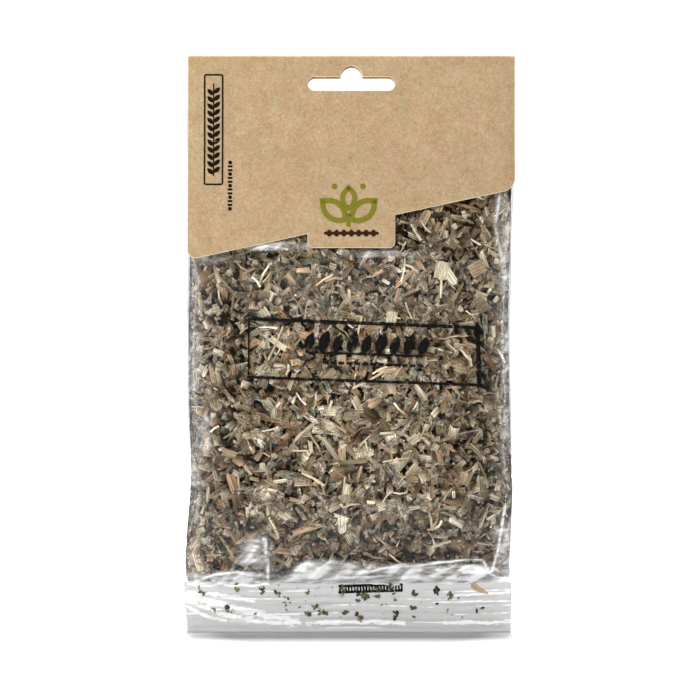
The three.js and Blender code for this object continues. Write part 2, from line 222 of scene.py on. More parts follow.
def add_node(material, kind, settings=None, **inputs):
    """Adds a node. An input is a value, or a node or an output socket to link to it.

    at0, at1 and so on name an input by its number. The setting stops fills a colour ramp with
    (position, colour) pairs."""
    tree = material.node_tree
    node = tree.nodes.new("ShaderNode" + kind)
    settings = dict(settings or {})
    for number, (place, colour) in enumerate(settings.pop("stops", ())):
        band = node.color_ramp.elements
        element = band[number] if number < len(band) else band.new(place)
        element.position, element.color = place, colour
    for key, value in settings.items():
        setattr(node, key, value)
    for key, value in inputs.items():
        place = int(key[2:]) if key.startswith("at") else key.replace("_", " ")
        if isinstance(value, bpy.types.Node):
            value = next(socket for socket in value.outputs if socket.enabled)
        if isinstance(value, bpy.types.NodeSocket):
            tree.links.new(value, node.inputs[place])
        else:
            node.inputs[place].default_value = value
    return node


MULTIPLY = {"operation": "MULTIPLY"}
TINT_BY = {"data_type": "RGBA", "blend_type": "MULTIPLY"}  # inputs: 0 how much, 6 and 7 the colours


def new_material(name):
    material = bpy.data.materials.new(name)
    material.use_nodes = True
    material.node_tree.nodes.clear()
    return material


def set_surface(material, shader):
    add_node(material, "OutputMaterial", Surface=shader)
    print("material:", material.name)
    return material

# %% Piece helpers
def start_clean():
    """Leaves edit mode and deselects everything, so that an operator touches only new geometry."""
    if bpy.context.object and bpy.context.object.mode != "OBJECT":
        bpy.ops.object.mode_set(mode="OBJECT")
    bpy.ops.object.select_all(action="DESELECT")


def select_only(piece):
    start_clean()
    piece.select_set(True)
    bpy.context.view_layer.objects.active = piece


def named(name):
    piece = bpy.context.object
    piece.name = name
    piece.data.name = name
    return piece


def edit_all():
    """Enters edit mode with the whole of the active mesh selected."""
    bpy.ops.object.mode_set(mode="EDIT")
    bpy.ops.mesh.select_all(action="SELECT")


def face_outwards():
    """Turns all faces of the active mesh outwards and leaves edit mode."""
    edit_all()
    bpy.ops.mesh.normals_make_consistent(inside=False)
    bpy.ops.object.mode_set(mode="OBJECT")


def extrude_sheet(offset):
    """Gives the active flat sheet a thickness, and leaves edit mode."""
    edit_all()
    bpy.ops.mesh.extrude_region_move(TRANSFORM_OT_translate={"value": offset})
    face_outwards()


def points_of(piece):
    """The mesh's vertices in millimetres, one row each."""
    flat = np.empty(len(piece.data.vertices) * 3)
    piece.data.vertices.foreach_get("co", flat)
    return flat.reshape(-1, 3) / MM


def set_points(piece, points):
    piece.data.vertices.foreach_set("co", (np.asarray(points) * MM).ravel())
    piece.data.update()


def paint(piece, name, values):
    """Stores one number or one vector per vertex for the material to read."""
    kind, key = ("FLOAT", "value") if np.ndim(values) == 1 else ("FLOAT_VECTOR", "vector")
    piece.data.attributes.new(name, kind, "POINT").data.foreach_set(key, np.ravel(values))


def triangles(piece):
    return sum(len(p.vertices) - 2 for p in piece.data.polygons)


def dress(piece, slot, *materials, smooth=True):
    """Gives a finished piece its materials and its body; the slot is not used."""
    for material in materials:
        piece.data.materials.append(material)
    piece.data.polygons.foreach_set("use_smooth", [smooth] * len(piece.data.polygons))
    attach(piece, "root")
    print(piece.name, triangles(piece), "triangles")
    return piece

# %% [markdown]
# ## The floor
# The floor is a plain pale sheet. The packet hangs just clear of it.

# %% Floor
FLOOR_DROP = 0.82  # the packet's lowest edge hangs this far above the floor


def make_floor():
    """Matt white paint that glows away from the packet, so that it fades into the surround."""
    paint_coat = new_material("matt_white_paint")
    place = add_node(paint_coat, "TexCoord").outputs["Object"]
    flat = add_node(paint_coat, "VectorMath", MULTIPLY, at0=place, at1=(1.6, 1, 0))
    reach = add_node(paint_coat, "VectorMath", {"operation": "LENGTH"}, at0=flat)
    far = add_node(
        paint_coat, "MapRange", Value=reach, From_Min=75 * MM, From_Max=130 * MM, To_Max=1.1
    )
    seen = add_node(paint_coat, "LightPath").outputs["Is Camera Ray"]
    glow = add_node(paint_coat, "Math", MULTIPLY, at0=far, at1=seen)
    lit = add_node(paint_coat, "BsdfDiffuse", Color=(0.4, 0.4, 0.4, 1))
    shine = add_node(paint_coat, "Emission", Color=(1, 1, 1, 1), Strength=glow)
    set_surface(paint_coat, add_node(paint_coat, "AddShader", at0=lit, at1=shine))
    start_clean()
    level = (POUCH_BOTTOM - FLOOR_DROP) * MM
    bpy.ops.mesh.primitive_circle_add(vertices=96, radius=9.0, fill_type="NGON", location=(0, 0, level))
    floor = named("studio_floor")
    bpy.ops.object.transform_apply()
    floor.data.materials.append(paint_coat)


make_floor()

# %% [markdown]
# ## The kraft header card
# The real card is one die-cut sheet of brown board that is folded over the pouch. It is made here
# the same way: a flat blank is cut to its outline with bisect and bevel, its two hook slots are
# punched with a Boolean, and only then is every point of the blank carried round the fold.

# %% Kraft board
def make_kraft():
    """Kraft board: unbleached wood pulp, so it is brown, matt and full of lighter and darker fibres."""
    kraft = new_material("kraft_board")
    place = add_node(kraft, "TexCoord").outputs["Object"]

    def layer(noise, low, low_code, high, high_code):
        """Two tones of pulp, as a ramp over a noise."""
        stops = [(low, linear(low_code)), (high, linear(high_code))]
        return add_node(kraft, "ValToRGB", {"stops": stops}, Fac=noise)

    cloud = add_node(kraft, "TexNoise", Vector=place, Scale=140.0, Detail=4.0, Roughness=0.65)
    shade = layer(cloud, 0.3, "#bda380", 0.7, "#cbb392")
    # curled pulp fibres, a little under a millimetre apart, and finer ones between them
    fibre = add_node(
        kraft, "TexNoise", Vector=place, Scale=900.0, Detail=3.0, Roughness=0.75, Distortion=1.2
    )
    # dark specks of bark, about two millimetres apart
    speck = add_node(kraft, "TexVoronoi", Vector=place, Scale=520.0, Randomness=1.0)
    # the pulp is a mix of woods, so patches of a few millimetres are a shade pinker or greener
    wood = add_node(kraft, "TexNoise", Vector=place, Scale=190.0, Detail=2.0, Roughness=0.5)
    for strength, tone in (
        (0.8, layer(fibre, 0.36, "#d0c6b8", 0.64, "#ffffff")),
        (0.25, layer(speck, 0.05, "#94754c", 0.17, "#ffffff")),
        (1.0, layer(wood, 0.35, "#fff8f5", 0.65, "#fafdf6")),
    ):
        shade = add_node(kraft, "Mix", TINT_BY, at0=strength, at6=shade, at7=tone)
    dimmed = add_node(kraft, "HueSaturation", Value=0.82, Color=shade)
    relief = add_node(kraft, "Bump", Strength=0.3, Distance=0.08 * MM, Height=fibre)
    board = add_node(
        kraft,
        "BsdfPrincipled",
        Base_Color=dimmed,
        Roughness=0.86,
        Normal=relief,
        IOR=1.45,
        Specular_IOR_Level=0.25,
    )
    return set_surface(kraft, board)


def make_cut_edge():
    """The cut edge of kraft board: crushed pulp without the rolled surface, so it is paler."""
    pale = new_material("cut_board_edge")
    place = add_node(pale, "TexCoord").outputs["Object"]
    pulp = add_node(pale, "TexNoise", Vector=place, Scale=1400.0, Detail=2.0)
    stops = [(0.3, linear("#e2d3b4")), (0.7, linear("#f3ead2"))]
    tone = add_node(pale, "ValToRGB", {"stops": stops}, Fac=pulp)
    return set_surface(pale, add_node(pale, "BsdfPrincipled", Base_Color=tone, Roughness=0.9))


kraft_board = make_kraft()
cut_board_edge = make_cut_edge()

# %% The flat blank
FOLD_CENTRE = CARD_TOP - CARD_THICK - CARD_GAP
FOLD_RADIUS = CARD_GAP + CARD_THICK / 2
FOLD_LENGTH = math.pi * FOLD_RADIUS
REAR_TOP = FOLD_CENTRE + FOLD_LENGTH  # on the flat blank, the rear panel starts here
REAR_END = REAR_TOP + FOLD_CENTRE - CARD_BACK_BOTTOM
print("flat blank:", round(REAR_END - TAB_BOTTOM, 1), "mm from the tab to the rear panel's edge")


def hem(x):
    """Height of the front panel's slanted lower edge."""
    return HEM_AT_MIDDLE + HEM_RISE * x

# %% Select and cut, as by hand
def bisect_all(point, normal):
    """Cuts all faces of the mesh in edit mode along a plane through a point in millimetres."""
    bpy.ops.mesh.select_all(action="SELECT")
    bpy.ops.mesh.bisect(plane_co=Vector(point) * MM, plane_no=normal)


def pick(piece, kind, test):
    """Selects the faces, edges or vertices that pass the test, and stays in edit mode."""
    select_only(piece)
    bpy.ops.object.mode_set(mode="EDIT")
    bpy.ops.mesh.select_mode(type=kind)
    bpy.ops.mesh.select_all(action="DESELECT")
    bpy.ops.object.mode_set(mode="OBJECT")
    parts = {"FACE": "polygons", "EDGE": "edges", "VERT": "vertices"}[kind]
    for element in getattr(piece.data, parts):
        element.select = bool(test(element))
    bpy.ops.object.mode_set(mode="EDIT")


def ends_of(piece, edge):
    """Both ends of an edge in millimetres."""
    return [piece.data.vertices[i].co / MM for i in edge.vertices]


def delete_faces(piece, test):
    pick(piece, "FACE", lambda face: test(face.center / MM))
    bpy.ops.mesh.delete(type="FACE")


def bevel_corner(piece, corner, radius):
    """Rounds the corner of the flat outline that is nearest to the given point."""
    target = Vector(corner)
    near = min(piece.data.vertices, key=lambda v: (v.co / MM - target).length).index
    pick(piece, "VERT", lambda vertex: vertex.index == near)
    bpy.ops.mesh.bevel(offset=radius * MM, segments=8, affect="VERTICES", profile=0.5)
    bpy.ops.object.mode_set(mode="OBJECT")

# %% Cut the blank's outline
def cut_blank():
    """The whole sheet lying flat in the x-z plane, front panel down and rear panel up."""
    low = hem(-CARD_HALF_WIDTH) - 1
    start_clean()
    bpy.ops.mesh.primitive_plane_add(size=1, rotation=(math.pi / 2, 0, 0))
    blank = named("kraft_header_card")
    blank.scale = (2 * CARD_HALF_WIDTH * MM, (REAR_END - low) * MM, 1)
    blank.location = (0, 0, (REAR_END + low) / 2 * MM)
    bpy.ops.object.transform_apply()
    bpy.ops.object.mode_set(mode="EDIT")
    slant = Vector((-HEM_RISE, 0, 1)).normalized()
    for point, normal in (
        ((-TAB_HALF_WIDTH, 0, 0), (1, 0, 0)),
        ((TAB_HALF_WIDTH, 0, 0), (1, 0, 0)),
        ((0, 0, HEM_AT_MIDDLE), slant),
        ((0, 0, TAB_BOTTOM), (0, 0, 1)),
    ):
        bisect_all(point, normal)
    delete_faces(blank, lambda c: abs(c.x) > TAB_HALF_WIDTH and c.z < hem(c.x))
    delete_faces(blank, lambda c: abs(c.x) < TAB_HALF_WIDTH and c.z < TAB_BOTTOM)
    bpy.ops.mesh.select_all(action="SELECT")
    bpy.ops.mesh.dissolve_limited(angle_limit=0.001)
    bpy.ops.object.mode_set(mode="OBJECT")
    for side in (-1, 1):
        bevel_corner(blank, (side * CARD_HALF_WIDTH, 0, hem(side * CARD_HALF_WIDTH)), CARD_CORNER)
        bevel_corner(blank, (side * CARD_HALF_WIDTH, 0, REAR_END), CARD_CORNER)
        bevel_corner(blank, (side * TAB_HALF_WIDTH, 0, TAB_BOTTOM), TAB_CORNER)
    pick(blank, "FACE", lambda face: True)
    extrude_sheet((0, -CARD_THICK * MM, 0))
    return blank

# %% Punch the hook slots
def punch_slot(blank, arm_top, bump_side):
    """Cuts one hook slot: a round-ended bar with a half-round on its bump_side, up or down."""
    middle = arm_top - bump_side * SLOT_ARM_HEIGHT / 2
    start_clean()
    bpy.ops.mesh.primitive_cube_add(size=1, location=(0, 0, middle * MM))
    bar = named("slot_bar_punch")
    bar.scale = (2 * SLOT_HALF_LENGTH * MM, 4 * MM, SLOT_ARM_HEIGHT * MM)
    bpy.ops.object.transform_apply()
    pick(bar, "EDGE", lambda edge: abs(ends_of(bar, edge)[0].y - ends_of(bar, edge)[1].y) > 1)
    bpy.ops.mesh.bevel(offset=(SLOT_ARM_HEIGHT / 2 - 0.02) * MM, segments=10, affect="EDGES")
    bpy.ops.object.mode_set(mode="OBJECT")
    start_clean()
    bpy.ops.mesh.primitive_cylinder_add(
        vertices=48,
        radius=SLOT_BUMP_RADIUS * MM,
        depth=5 * MM,
        location=(0, 0, arm_top * MM),
        rotation=(math.pi / 2, 0, 0),
    )
    bump = named("slot_bump_punch")
    bpy.ops.object.transform_apply()
    for punch in (bar, bump):
        select_only(blank)
        hole = blank.modifiers.new("hole", "BOOLEAN")
        hole.operation, hole.solver, hole.object = "DIFFERENCE", "EXACT", punch
        bpy.ops.object.modifier_apply(modifier=hole.name)
        bpy.data.objects.remove(punch, do_unlink=True)

# %% Fold the blank round the pouch
PART_FROM = -9.0  # the panels start to part for the pouch here
PART_OVER = 10.0
FRONT_EASE, REAR_EASE = 0.2, 0.55  # room between each panel and the full pouch
LEAN = 0.22  # how much of the pouch's bulge a panel leaves out at its sides


def panel_inside(x, z, ease):
    """How far a panel's inner face is from the middle: it parts for the pouch, then leans on it."""
    seated = mix(CARD_GAP, CARD_SEATED, ramp((PART_FROM - z) / PART_OVER))
    bulge = pouch_half_depth(np.minimum(z, COLLAR_BOTTOM)) - COLLAR_HALF_DEPTH
    eased_out = ramp((COLLAR_BOTTOM - z) / 5.0) * ease
    return seated + bulge + eased_out - LEAN * bulge * (x / CARD_HALF_WIDTH) ** 2


def fold_card(blank):
    """Carries each point of the flat blank to its place on the folded card."""
    flat = points_of(blank)
    x, depth, along = flat[:, 0], -flat[:, 1], flat[:, 2]
    turn = np.clip((along - FOLD_CENTRE) / FOLD_LENGTH, 0, 1) * math.pi
    in_front, behind = turn <= 0, turn >= math.pi
    radius = CARD_GAP + depth
    rear_z = FOLD_CENTRE - (along - FOLD_CENTRE - FOLD_LENGTH)
    front_y = -(panel_inside(x, along, FRONT_EASE) + depth)
    rear_y = panel_inside(x, rear_z, REAR_EASE) + depth
    y = np.select([in_front, behind], [front_y, rear_y], -radius * np.cos(turn))
    z = np.select([in_front, behind], [along, rear_z], FOLD_CENTRE + radius * np.sin(turn))
    set_points(blank, np.column_stack([x, y, z]))

# %% Make the card
def grid_lines(start, end, step):
    """Even places from start to end, about a step apart."""
    count = max(1, round(abs(end - start) / step))
    return [mix(start, end, i / count) for i in range(count + 1)]


EDGE_CRUSH = 0.13  # the die rounds the sheet's cut edges this far in
CARD_STEP = 2.4  # spacing of the level cuts that let the panels curve
CARD_COLUMN_STEP = 4


def make_card():
    blank = cut_blank()
    punch_slot(blank, SLOT_ARM_TOP + SLOT_FRONT_SHIFT, 1)
    punch_slot(blank, REAR_TOP + FOLD_CENTRE - SLOT_ARM_TOP, -1)
    blank.data.materials.append(kraft_board)
    blank.data.materials.append(cut_board_edge)
    walls = {}
    for polygon in blank.data.polygons:
        polygon.material_index = int(abs(polygon.normal.y) < 0.5)
        for key in polygon.edge_keys:
            walls.setdefault(key, set()).add(polygon.material_index)

    def on_outer_rim(edge):
        outside = max(point.y for point in ends_of(blank, edge)) < 0.1 - CARD_THICK
        return len(walls[edge.key]) == 2 and outside

    pick(blank, "EDGE", on_outer_rim)
    bpy.ops.mesh.bevel(offset=EDGE_CRUSH * MM, segments=2, affect="EDGES", material=1)
    levels = grid_lines(hem(-CARD_HALF_WIDTH), PART_FROM, CARD_STEP)
    levels += grid_lines(FOLD_CENTRE, REAR_TOP, FOLD_LENGTH / 10)
    levels += grid_lines(REAR_TOP + FOLD_CENTRE - PART_FROM, REAR_END, CARD_STEP)
    for level in levels:
        bisect_all((0, 0, level), (0, 0, 1))
    side = CARD_HALF_WIDTH - CARD_COLUMN_STEP
    for x in grid_lines(-side, side, CARD_COLUMN_STEP):
        bisect_all((x, 0, 0), (1, 0, 0))
    bpy.ops.object.mode_set(mode="OBJECT")
    fold_card(blank)
    return blank


card = dress(make_card(), "kraft_card")
select_only(card)
bpy.ops.object.shade_smooth_by_angle(angle=math.radians(35))
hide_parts("header_card")

# %% [markdown]
# ## Bits of dried herb, modelled once each
# The fill is borage that was dried, cut and sieved. It holds crumpled bits of felty leaf, flat
# chips of stem with their fibres, thin pale stalks and crumbs. A few of each kind are modelled one
# unit long. They are low in faces, because thousands of copies will be laid.

# %% Tools to model and copy the bits
def take_arrays(piece):
    """Returns a finished bit as arrays of points and triangles, and removes its object."""
    mesh = piece.data
    mesh.calc_loop_triangles()
    points = np.empty(len(mesh.vertices) * 3)
    mesh.vertices.foreach_get("co", points)
    faces = np.empty(len(mesh.loop_triangles) * 3, dtype=np.int32)
    mesh.loop_triangles.foreach_get("vertices", faces)
    bpy.data.objects.remove(piece, do_unlink=True)
    return points.reshape(-1, 3), faces.reshape(-1, 3)

# %% Model the bits
def model_leaf_bit(seed):
    """A torn and crumpled bit of leaf: a small grid with its points shaken, then thickened."""
    start_clean()
    bpy.ops.mesh.primitive_grid_add(x_subdivisions=3, y_subdivisions=2, size=1)
    bit = named("leaf_bit")
    edit_all()
    bpy.ops.transform.vertex_random(offset=0.29, seed=seed)
    extrude_sheet((0, 0, 0.16))
    return take_arrays(bit)


def model_stem_chip(seed):
    """A split piece of stem wall: a strip that is arched across its fibres, with torn ends."""
    start_clean()
    bpy.ops.mesh.primitive_grid_add(x_subdivisions=1, y_subdivisions=3, size=1)
    chip = named("stem_chip")
    rng = np.random.default_rng(seed)
    arch = 0.5 * rng.choice([-0.6, 1.0])
    for vertex in chip.data.vertices:
        vertex.co.x += rng.normal(0, 0.07)
        vertex.co.y += rng.normal(0, 0.04)
        vertex.co.z = arch * (0.25 - vertex.co.y**2) + rng.normal(0, 0.03)
    extrude_sheet((0, 0, 0.2))
    return take_arrays(chip)


def model_stalk(seed):
    """A thin stalk: a five-sided rod with one bend."""
    start_clean()
    bpy.ops.mesh.primitive_cylinder_add(
        vertices=5, radius=0.5, depth=1, end_fill_type="NGON", rotation=(0, math.pi / 2, 0)
    )
    stalk = named("stalk")
    bpy.ops.object.transform_apply()
    bpy.ops.object.mode_set(mode="EDIT")
    bisect_all((0, 0, 0), (1, 0, 0))
    bpy.ops.object.mode_set(mode="OBJECT")
    rng = np.random.default_rng(seed)
    bow = rng.uniform(-0.7, 0.7, 2)
    for vertex in stalk.data.vertices:
        if abs(vertex.co.x) < 0.1:
            vertex.co.y += bow[0]
            vertex.co.z += bow[1]
        else:
            vertex.co.x += rng.normal(0, 0.03)
    return take_arrays(stalk)


def model_crumb(seed):
    """A crumb: a shaken ball of twenty faces."""
    start_clean()
    bpy.ops.mesh.primitive_ico_sphere_add(subdivisions=1, radius=0.5)
    crumb = named("crumb")
    edit_all()
    bpy.ops.transform.vertex_random(offset=0.22, seed=seed)
    bpy.ops.object.mode_set(mode="OBJECT")
    return take_arrays(crumb)


BITS = {
    "leaf": [model_leaf_bit(seed) for seed in range(9)],
    "chip": [model_stem_chip(seed) for seed in range(20, 26)],
    "stalk": [model_stalk(seed) for seed in range(40, 45)],
    "crumb": [model_crumb(seed) for seed in range(60, 64)],
}
print("triangles of a bit:", {kind: len(variants[0][1]) for kind, variants in BITS.items()})

# %% [markdown]
# ## The heap of herb
# A heap looks right when each bit rests on the ones below it. So the fill is grown on a grid of
# heights: each new bit goes where most room is left, is turned to the slope that it finds, rests
# on the highest points under it and raises the grid. The film's own shape is the end of its room.

# %% A grid of heights
CELL = 0.7  # spacing of the height grid
HERB_BOTTOM = -188.6
HERB_SIDE_GAP = 0.3
HEAP_DEPTH = 3.2  # thickness of the layer of single bits over the plain core
FILM_GAP = 0.3
REST_SHARE = 0.93  # so much of the heap under a bit lies below its underside
LARGEST_BIT = (13, 6, 1.3)  # length, width and thickness
TRIES = 8  # places that are looked at for each bit
SHALLOWEST = 0.4  # a bit needs this much room between the film's sides
STEEPEST = 0.5
TILT_SPREAD = 0.34  # how unevenly the bits lie on the slope below them
EASED_TILT = 0.4  # the part of its tilt that a bit keeps where the film presses on it

grid_x = np.arange(-59.5, 59.51, CELL)
grid_z = np.arange(HERB_BOTTOM - 2, HERB_TOP + 2, CELL)
GRID_X, GRID_Z = np.meshgrid(grid_x, grid_z)
print("height grid:", len(grid_z), "rows of", len(grid_x))


def herb_room(x, z):
    """The most that the herb may stand out from the middle plane."""
    share = x / (pouch_half_width(z) - HERB_SIDE_GAP)
    ends = ramp((HERB_TOP - z) / 5) * ramp((z - HERB_BOTTOM) / 2.5)
    return np.maximum(0.05, (pouch_half_depth(z) - FILM_GAP) * lens(share) * ends)


def sample(field, x, z):
    """Reads a field of the height grid between its points."""
    col = np.clip((x - grid_x[0]) / CELL, 0, len(grid_x) - 1.001)
    row = np.clip((z - grid_z[0]) / CELL, 0, len(grid_z) - 1.001)
    i, j = row.astype(int), col.astype(int)
    a, b = row - i, col - j
    low = mix(field[i, j], field[i, j + 1], b)
    high = mix(field[i + 1, j], field[i + 1, j + 1], b)
    return mix(low, high, a)

# %% Sizes of the bits
#  length, width and thickness of each kind in mm: middle value and spread
KINDS = {
    "leaf": ((3.8, 0.48), (1.8, 0.45), (1.6, 0.3)),
    "chip": ((4.5, 0.42), (1.8, 0.45), (0.55, 0.25)),
    "stalk": ((6.2, 0.35), (0.75, 0.25), (0.65, 0.2)),
    "crumb": ((1.3, 0.35), (1.0, 0.3), (0.7, 0.3)),
}
SHARES = {"leaf": 0.6, "chip": 0.2, "stalk": 0.07, "crumb": 0.13}
print("of 100 bits,", {kind: round(100 * share) for kind, share in SHARES.items()})

# %% Lay one bit after another
def roomiest_spot(rng, room, height):
    """The row and column of the grid, out of a few at random, that has the most room left."""
    rows = rng.integers(4, len(grid_z) - 4, TRIES)
    cols = rng.integers(1, len(grid_x) - 1, TRIES)
    here = room[rows, cols]
    free = (here - height[rows, cols]) / np.minimum(here, HEAP_DEPTH)
    free = np.where(here > SHALLOWEST, free, -9)
    best = int(np.argmax(free + rng.uniform(0, 0.3, TRIES)))
    return rows[best], cols[best]


def lay_bit(rng, height, room, spot, turn, size):
    """Rests one bit on the heap, raises the heights under it, and returns its slope and its base."""
    row, col = spot
    long, wide, thick = size
    reach = int(math.hypot(long, wide) / 2 / CELL) + 1
    rows = slice(max(0, row - reach), row + reach + 1)
    cols = slice(max(0, col - reach), col + reach + 1)
    dx = GRID_X[rows, cols] - grid_x[col]
    dz = GRID_Z[rows, cols] - grid_z[row]
    along = dx * math.cos(turn) + dz * math.sin(turn)
    across = dz * math.cos(turn) - dx * math.sin(turn)
    under = (np.abs(along) <= long / 2) & (np.abs(across) <= wide / 2 + 0.2)
    floor, limit = height[rows, cols][under], room[rows, cols][under]
    dx, dz = dx[under], dz[under]
    table = np.column_stack([dx, dz, np.ones(len(dx))])
    fit = np.linalg.lstsq(table, floor, rcond=None)[0]
    slope = np.clip(fit[:2], -STEEPEST, STEEPEST) + rng.normal(0, TILT_SPREAD, 2)
    plane = slope[0] * dx + slope[1] * dz
    base = np.quantile(floor - plane, REST_SHARE)
    if np.max(base + plane + thick - limit) > 0:
        slope, plane = slope * EASED_TILT, plane * EASED_TILT
        base = min(np.quantile(floor - plane, REST_SHARE), np.min(limit - plane) - thick)
    height[rows, cols][under] = np.maximum(floor, base + plane + 0.8 * thick)
    return slope, base


def grow_heap(count, seed):
    """Lays count bits on one face. Returns the heights and a list of placed bits."""
    rng = np.random.default_rng(seed)
    room = herb_room(GRID_X, GRID_Z)
    height = np.maximum(0.0, room - HEAP_DEPTH)
    placed = []
    for _ in range(count):
        kind = list(SHARES)[rng.choice(len(SHARES), p=list(SHARES.values()))]
        size = [middle * math.exp(rng.normal(0, spread)) for middle, spread in KINDS[kind]]
        size = tuple(min(own, most) for own, most in zip(size, LARGEST_BIT))
        row, col = roomiest_spot(rng, room, height)
        turn = rng.uniform(0, 2 * math.pi)
        slope, base = lay_bit(rng, height, room, (row, col), turn, size)
        placed.append((kind, (grid_x[col], grid_z[row], base + size[2] / 2), turn, slope, size))
    filled = np.mean((height / room)[room > 2])
    print("bits", len(placed), "heap fills", round(float(filled), 2), "of its room")
    return height, placed


BITS_EACH_FACE = 6700
front_height, front_bits = grow_heap(BITS_EACH_FACE, 7)
back_height, back_bits = grow_heap(BITS_EACH_FACE, 8)

# %% The film's drape over the heap
FILM_ON_BITS = 0.1  # the film clears the bits under it by this much


def shifted(field, rows, cols):
    """The field of heights moved by whole cells, with its edges repeated."""
    edge = max(abs(rows), abs(cols))
    padded = np.pad(field, edge, mode="edge")
    return padded[edge + rows : edge + rows + field.shape[0], edge + cols : edge + cols + field.shape[1]]


def soften(field, reach):
    """A box blur along both ways, done three times, which comes close to a Gaussian."""
    steps = range(-reach, reach + 1)
    for _ in range(3):
        field = sum(shifted(field, step, 0) for step in steps) / len(steps)
        field = sum(shifted(field, 0, step) for step in steps) / len(steps)
    return field


def drape(height):
    """Film that is pulled over the heap: it spans the hollows and rests on what stands out."""
    span = height
    for _ in range(3):
        span = np.maximum.reduce([shifted(span, r, c) for r in (-1, 0, 1) for c in (-1, 0, 1)])
    return np.maximum(soften(span, 2), soften(height, 1)) + FILM_ON_BITS


def rounded_min(first, second, width):
    """The lower of two heights, with the crease between them rounded off."""
    return 0.5 * (first + second - np.hypot(first - second, width))


def held_in(draped, plain, share):
    """Holds the draped film to the pouch's own section. Towards the sides the film is pulled taut,
    so there the crease between the two is wider and rounder."""
    side = ramp((np.abs(share) - 0.7) / 0.3)
    return rounded_min(draped, plain + 0.2 + 0.3 * side, 0.05 + side)


front_drape = drape(front_height)
back_drape = drape(back_height)
print("film over the front heap:", round(float(front_drape.max()), 2), "mm at most")

# %% Stamp the copies into one mesh for each kind
PLUMP_LEAF, PLUMP = 1.6, 1.2  # a crumpled bit takes more height than it is thick
FOLD_GAP, SEAL_GAP, SKIN_GAP = 0.4, 0.1, 0.08  # to the side folds, to the seal and to the film
SIDE_RISE = 0.12  # along the sides the bits stay this close to the plain section
# from where on, and over how much of the half width, ...
SIDE_LAY = (0.78, 0.1)  # ... the bits come to lie on that section
SIDE_LIGHT = (0.84, 0.12)  # ... light reaches them through the side
BURIED_AT = 2.6  # the depth under the film where `buried` is 1


def eased(value, limit):
    """Holds values under a limit, and slows them down over the last millimetre before it."""
    past = np.maximum(value - limit + 1, 0)
    return np.minimum(value, limit - 1) + 1 - np.exp(-past)


def copy_bits(placed, kind, rng):
    """All copies of one kind as arrays: points, triangles, and each point's tint and grain."""
    groups = [[] for _ in BITS[kind]]
    for bit in placed:
        if bit[0] == kind:
            groups[rng.integers(len(groups))].append(bit)
    points, faces, tints, grains = [], [], [], []
    start = 0
    plump = PLUMP_LEAF if kind == "leaf" else PLUMP
    for (shape, tris), group in zip(BITS[kind], groups):
        for _, (x, z, height), turn, slope, (long, wide, thick) in group:
            normal = np.array([-slope[0], -slope[1], 1.0])
            normal /= np.linalg.norm(normal)
            ahead = np.array([math.cos(turn), math.sin(turn), 0.0])
            ahead -= normal * (ahead @ normal)
            ahead /= np.linalg.norm(ahead)
            own = shape * np.array([long, wide, thick * plump])
            turned = own @ np.array([ahead, np.cross(normal, ahead), normal])
            points.append(turned + np.array([x, z, height]))
            faces.append(tris + start)
            start += len(shape)
            tints.append(np.full(len(shape), rng.random()))
            grains.append(own + rng.uniform(-500, 500, 3))
    return [np.concatenate(rows) for rows in (points, faces, tints, grains)]

# %% One mesh from the copies
def stamp(name, placed, kind, side, rng, flat=False):
    """Joins the copies of one kind on one face. side is -1 for the front and 1 for the rear.

    A flat layer lies on the seal, and anything else is kept under the film."""
    points, tris, tints, grains = copy_bits(placed, kind, rng)
    x, z, height = points.T
    x = np.sign(x) * eased(np.abs(x), pouch_half_width(z) - FOLD_GAP)
    if not flat:
        z = -eased(-z, -SEAL_TOP - SEAL_GAP)
    draped = sample(front_drape if side < 0 else back_drape, x, z)
    share = x / pouch_half_width(z)
    top = held_in(draped, herb_room(x, z), share)
    # along the sides the film lies on the pouch's plain section, and so do the bits
    section = pouch_half_depth(z) * lens(share)
    aside = ramp((np.abs(share) - SIDE_LAY[0]) / SIDE_LAY[1])
    top = mix(top, np.minimum(top, section + SIDE_RISE), aside)
    lift = height if flat else np.clip(height, -0.2, np.maximum(top - SKIN_GAP, 0))
    world = np.column_stack([swell(-side * x, z) - side * x, side * lift, z])
    mesh = bpy.data.meshes.new(name)
    mesh.vertices.add(len(world))
    mesh.vertices.foreach_set("co", (world * MM).ravel())
    mesh.loops.add(tris.size)
    mesh.loops.foreach_set("vertex_index", tris.ravel().astype(np.int32))
    mesh.polygons.add(len(tris))
    mesh.polygons.foreach_set("loop_start", np.arange(0, tris.size, 3, dtype=np.int32))
    mesh.update(calc_edges=True)
    mesh.validate()
    piece = bpy.data.objects.new(name, mesh)
    bpy.context.scene.collection.objects.link(piece)
    # light also comes in through the sides, so the painted shade of the bits there is weaker
    hidden = 1 - 0.25 * ramp((np.abs(share) - SIDE_LIGHT[0]) / SIDE_LIGHT[1])
    # buried sets how much painted shade the material gives a bit
    buried = np.clip((top - lift) / BURIED_AT, 0, 1) * hidden * (not flat)
    for layer, values in (("tint", tints), ("buried", buried), ("grain", grains)):
        paint(piece, layer, values)
    return piece

# %% [markdown]
# ## Finishes of the herb
# Each bit carries three attributes. `tint` is one number that picks its colour. `grain` is its own
# place in millimetres, which runs along its length, so the fibres of a chip follow the chip however
# it lies. `buried` says how deep it is under the film, and a painted shade darkens the deep ones.

# %% Herb materials
FIBRE_LOW, FIBRE_HIGH = 0.4, 0.62  # the band of the noise that goes from dark to light fibre
PAINTED_DEPTH_SHADE = {"From_Min": 0.03, "From_Max": 0.42, "To_Min": 1.0, "To_Max": 0.03}
# the darker a bit is, painted shade included, the browner it looks, so green and blue fall faster than
# red
WARM_STOPS = [
    (0.0, (1, 0.58, 0.24, 1)),
    (0.1, (1, 0.76, 0.46, 1)),
    (0.3, (1, 0.865, 0.65, 1)),
    (0.9, (1, 1, 1, 1)),
]


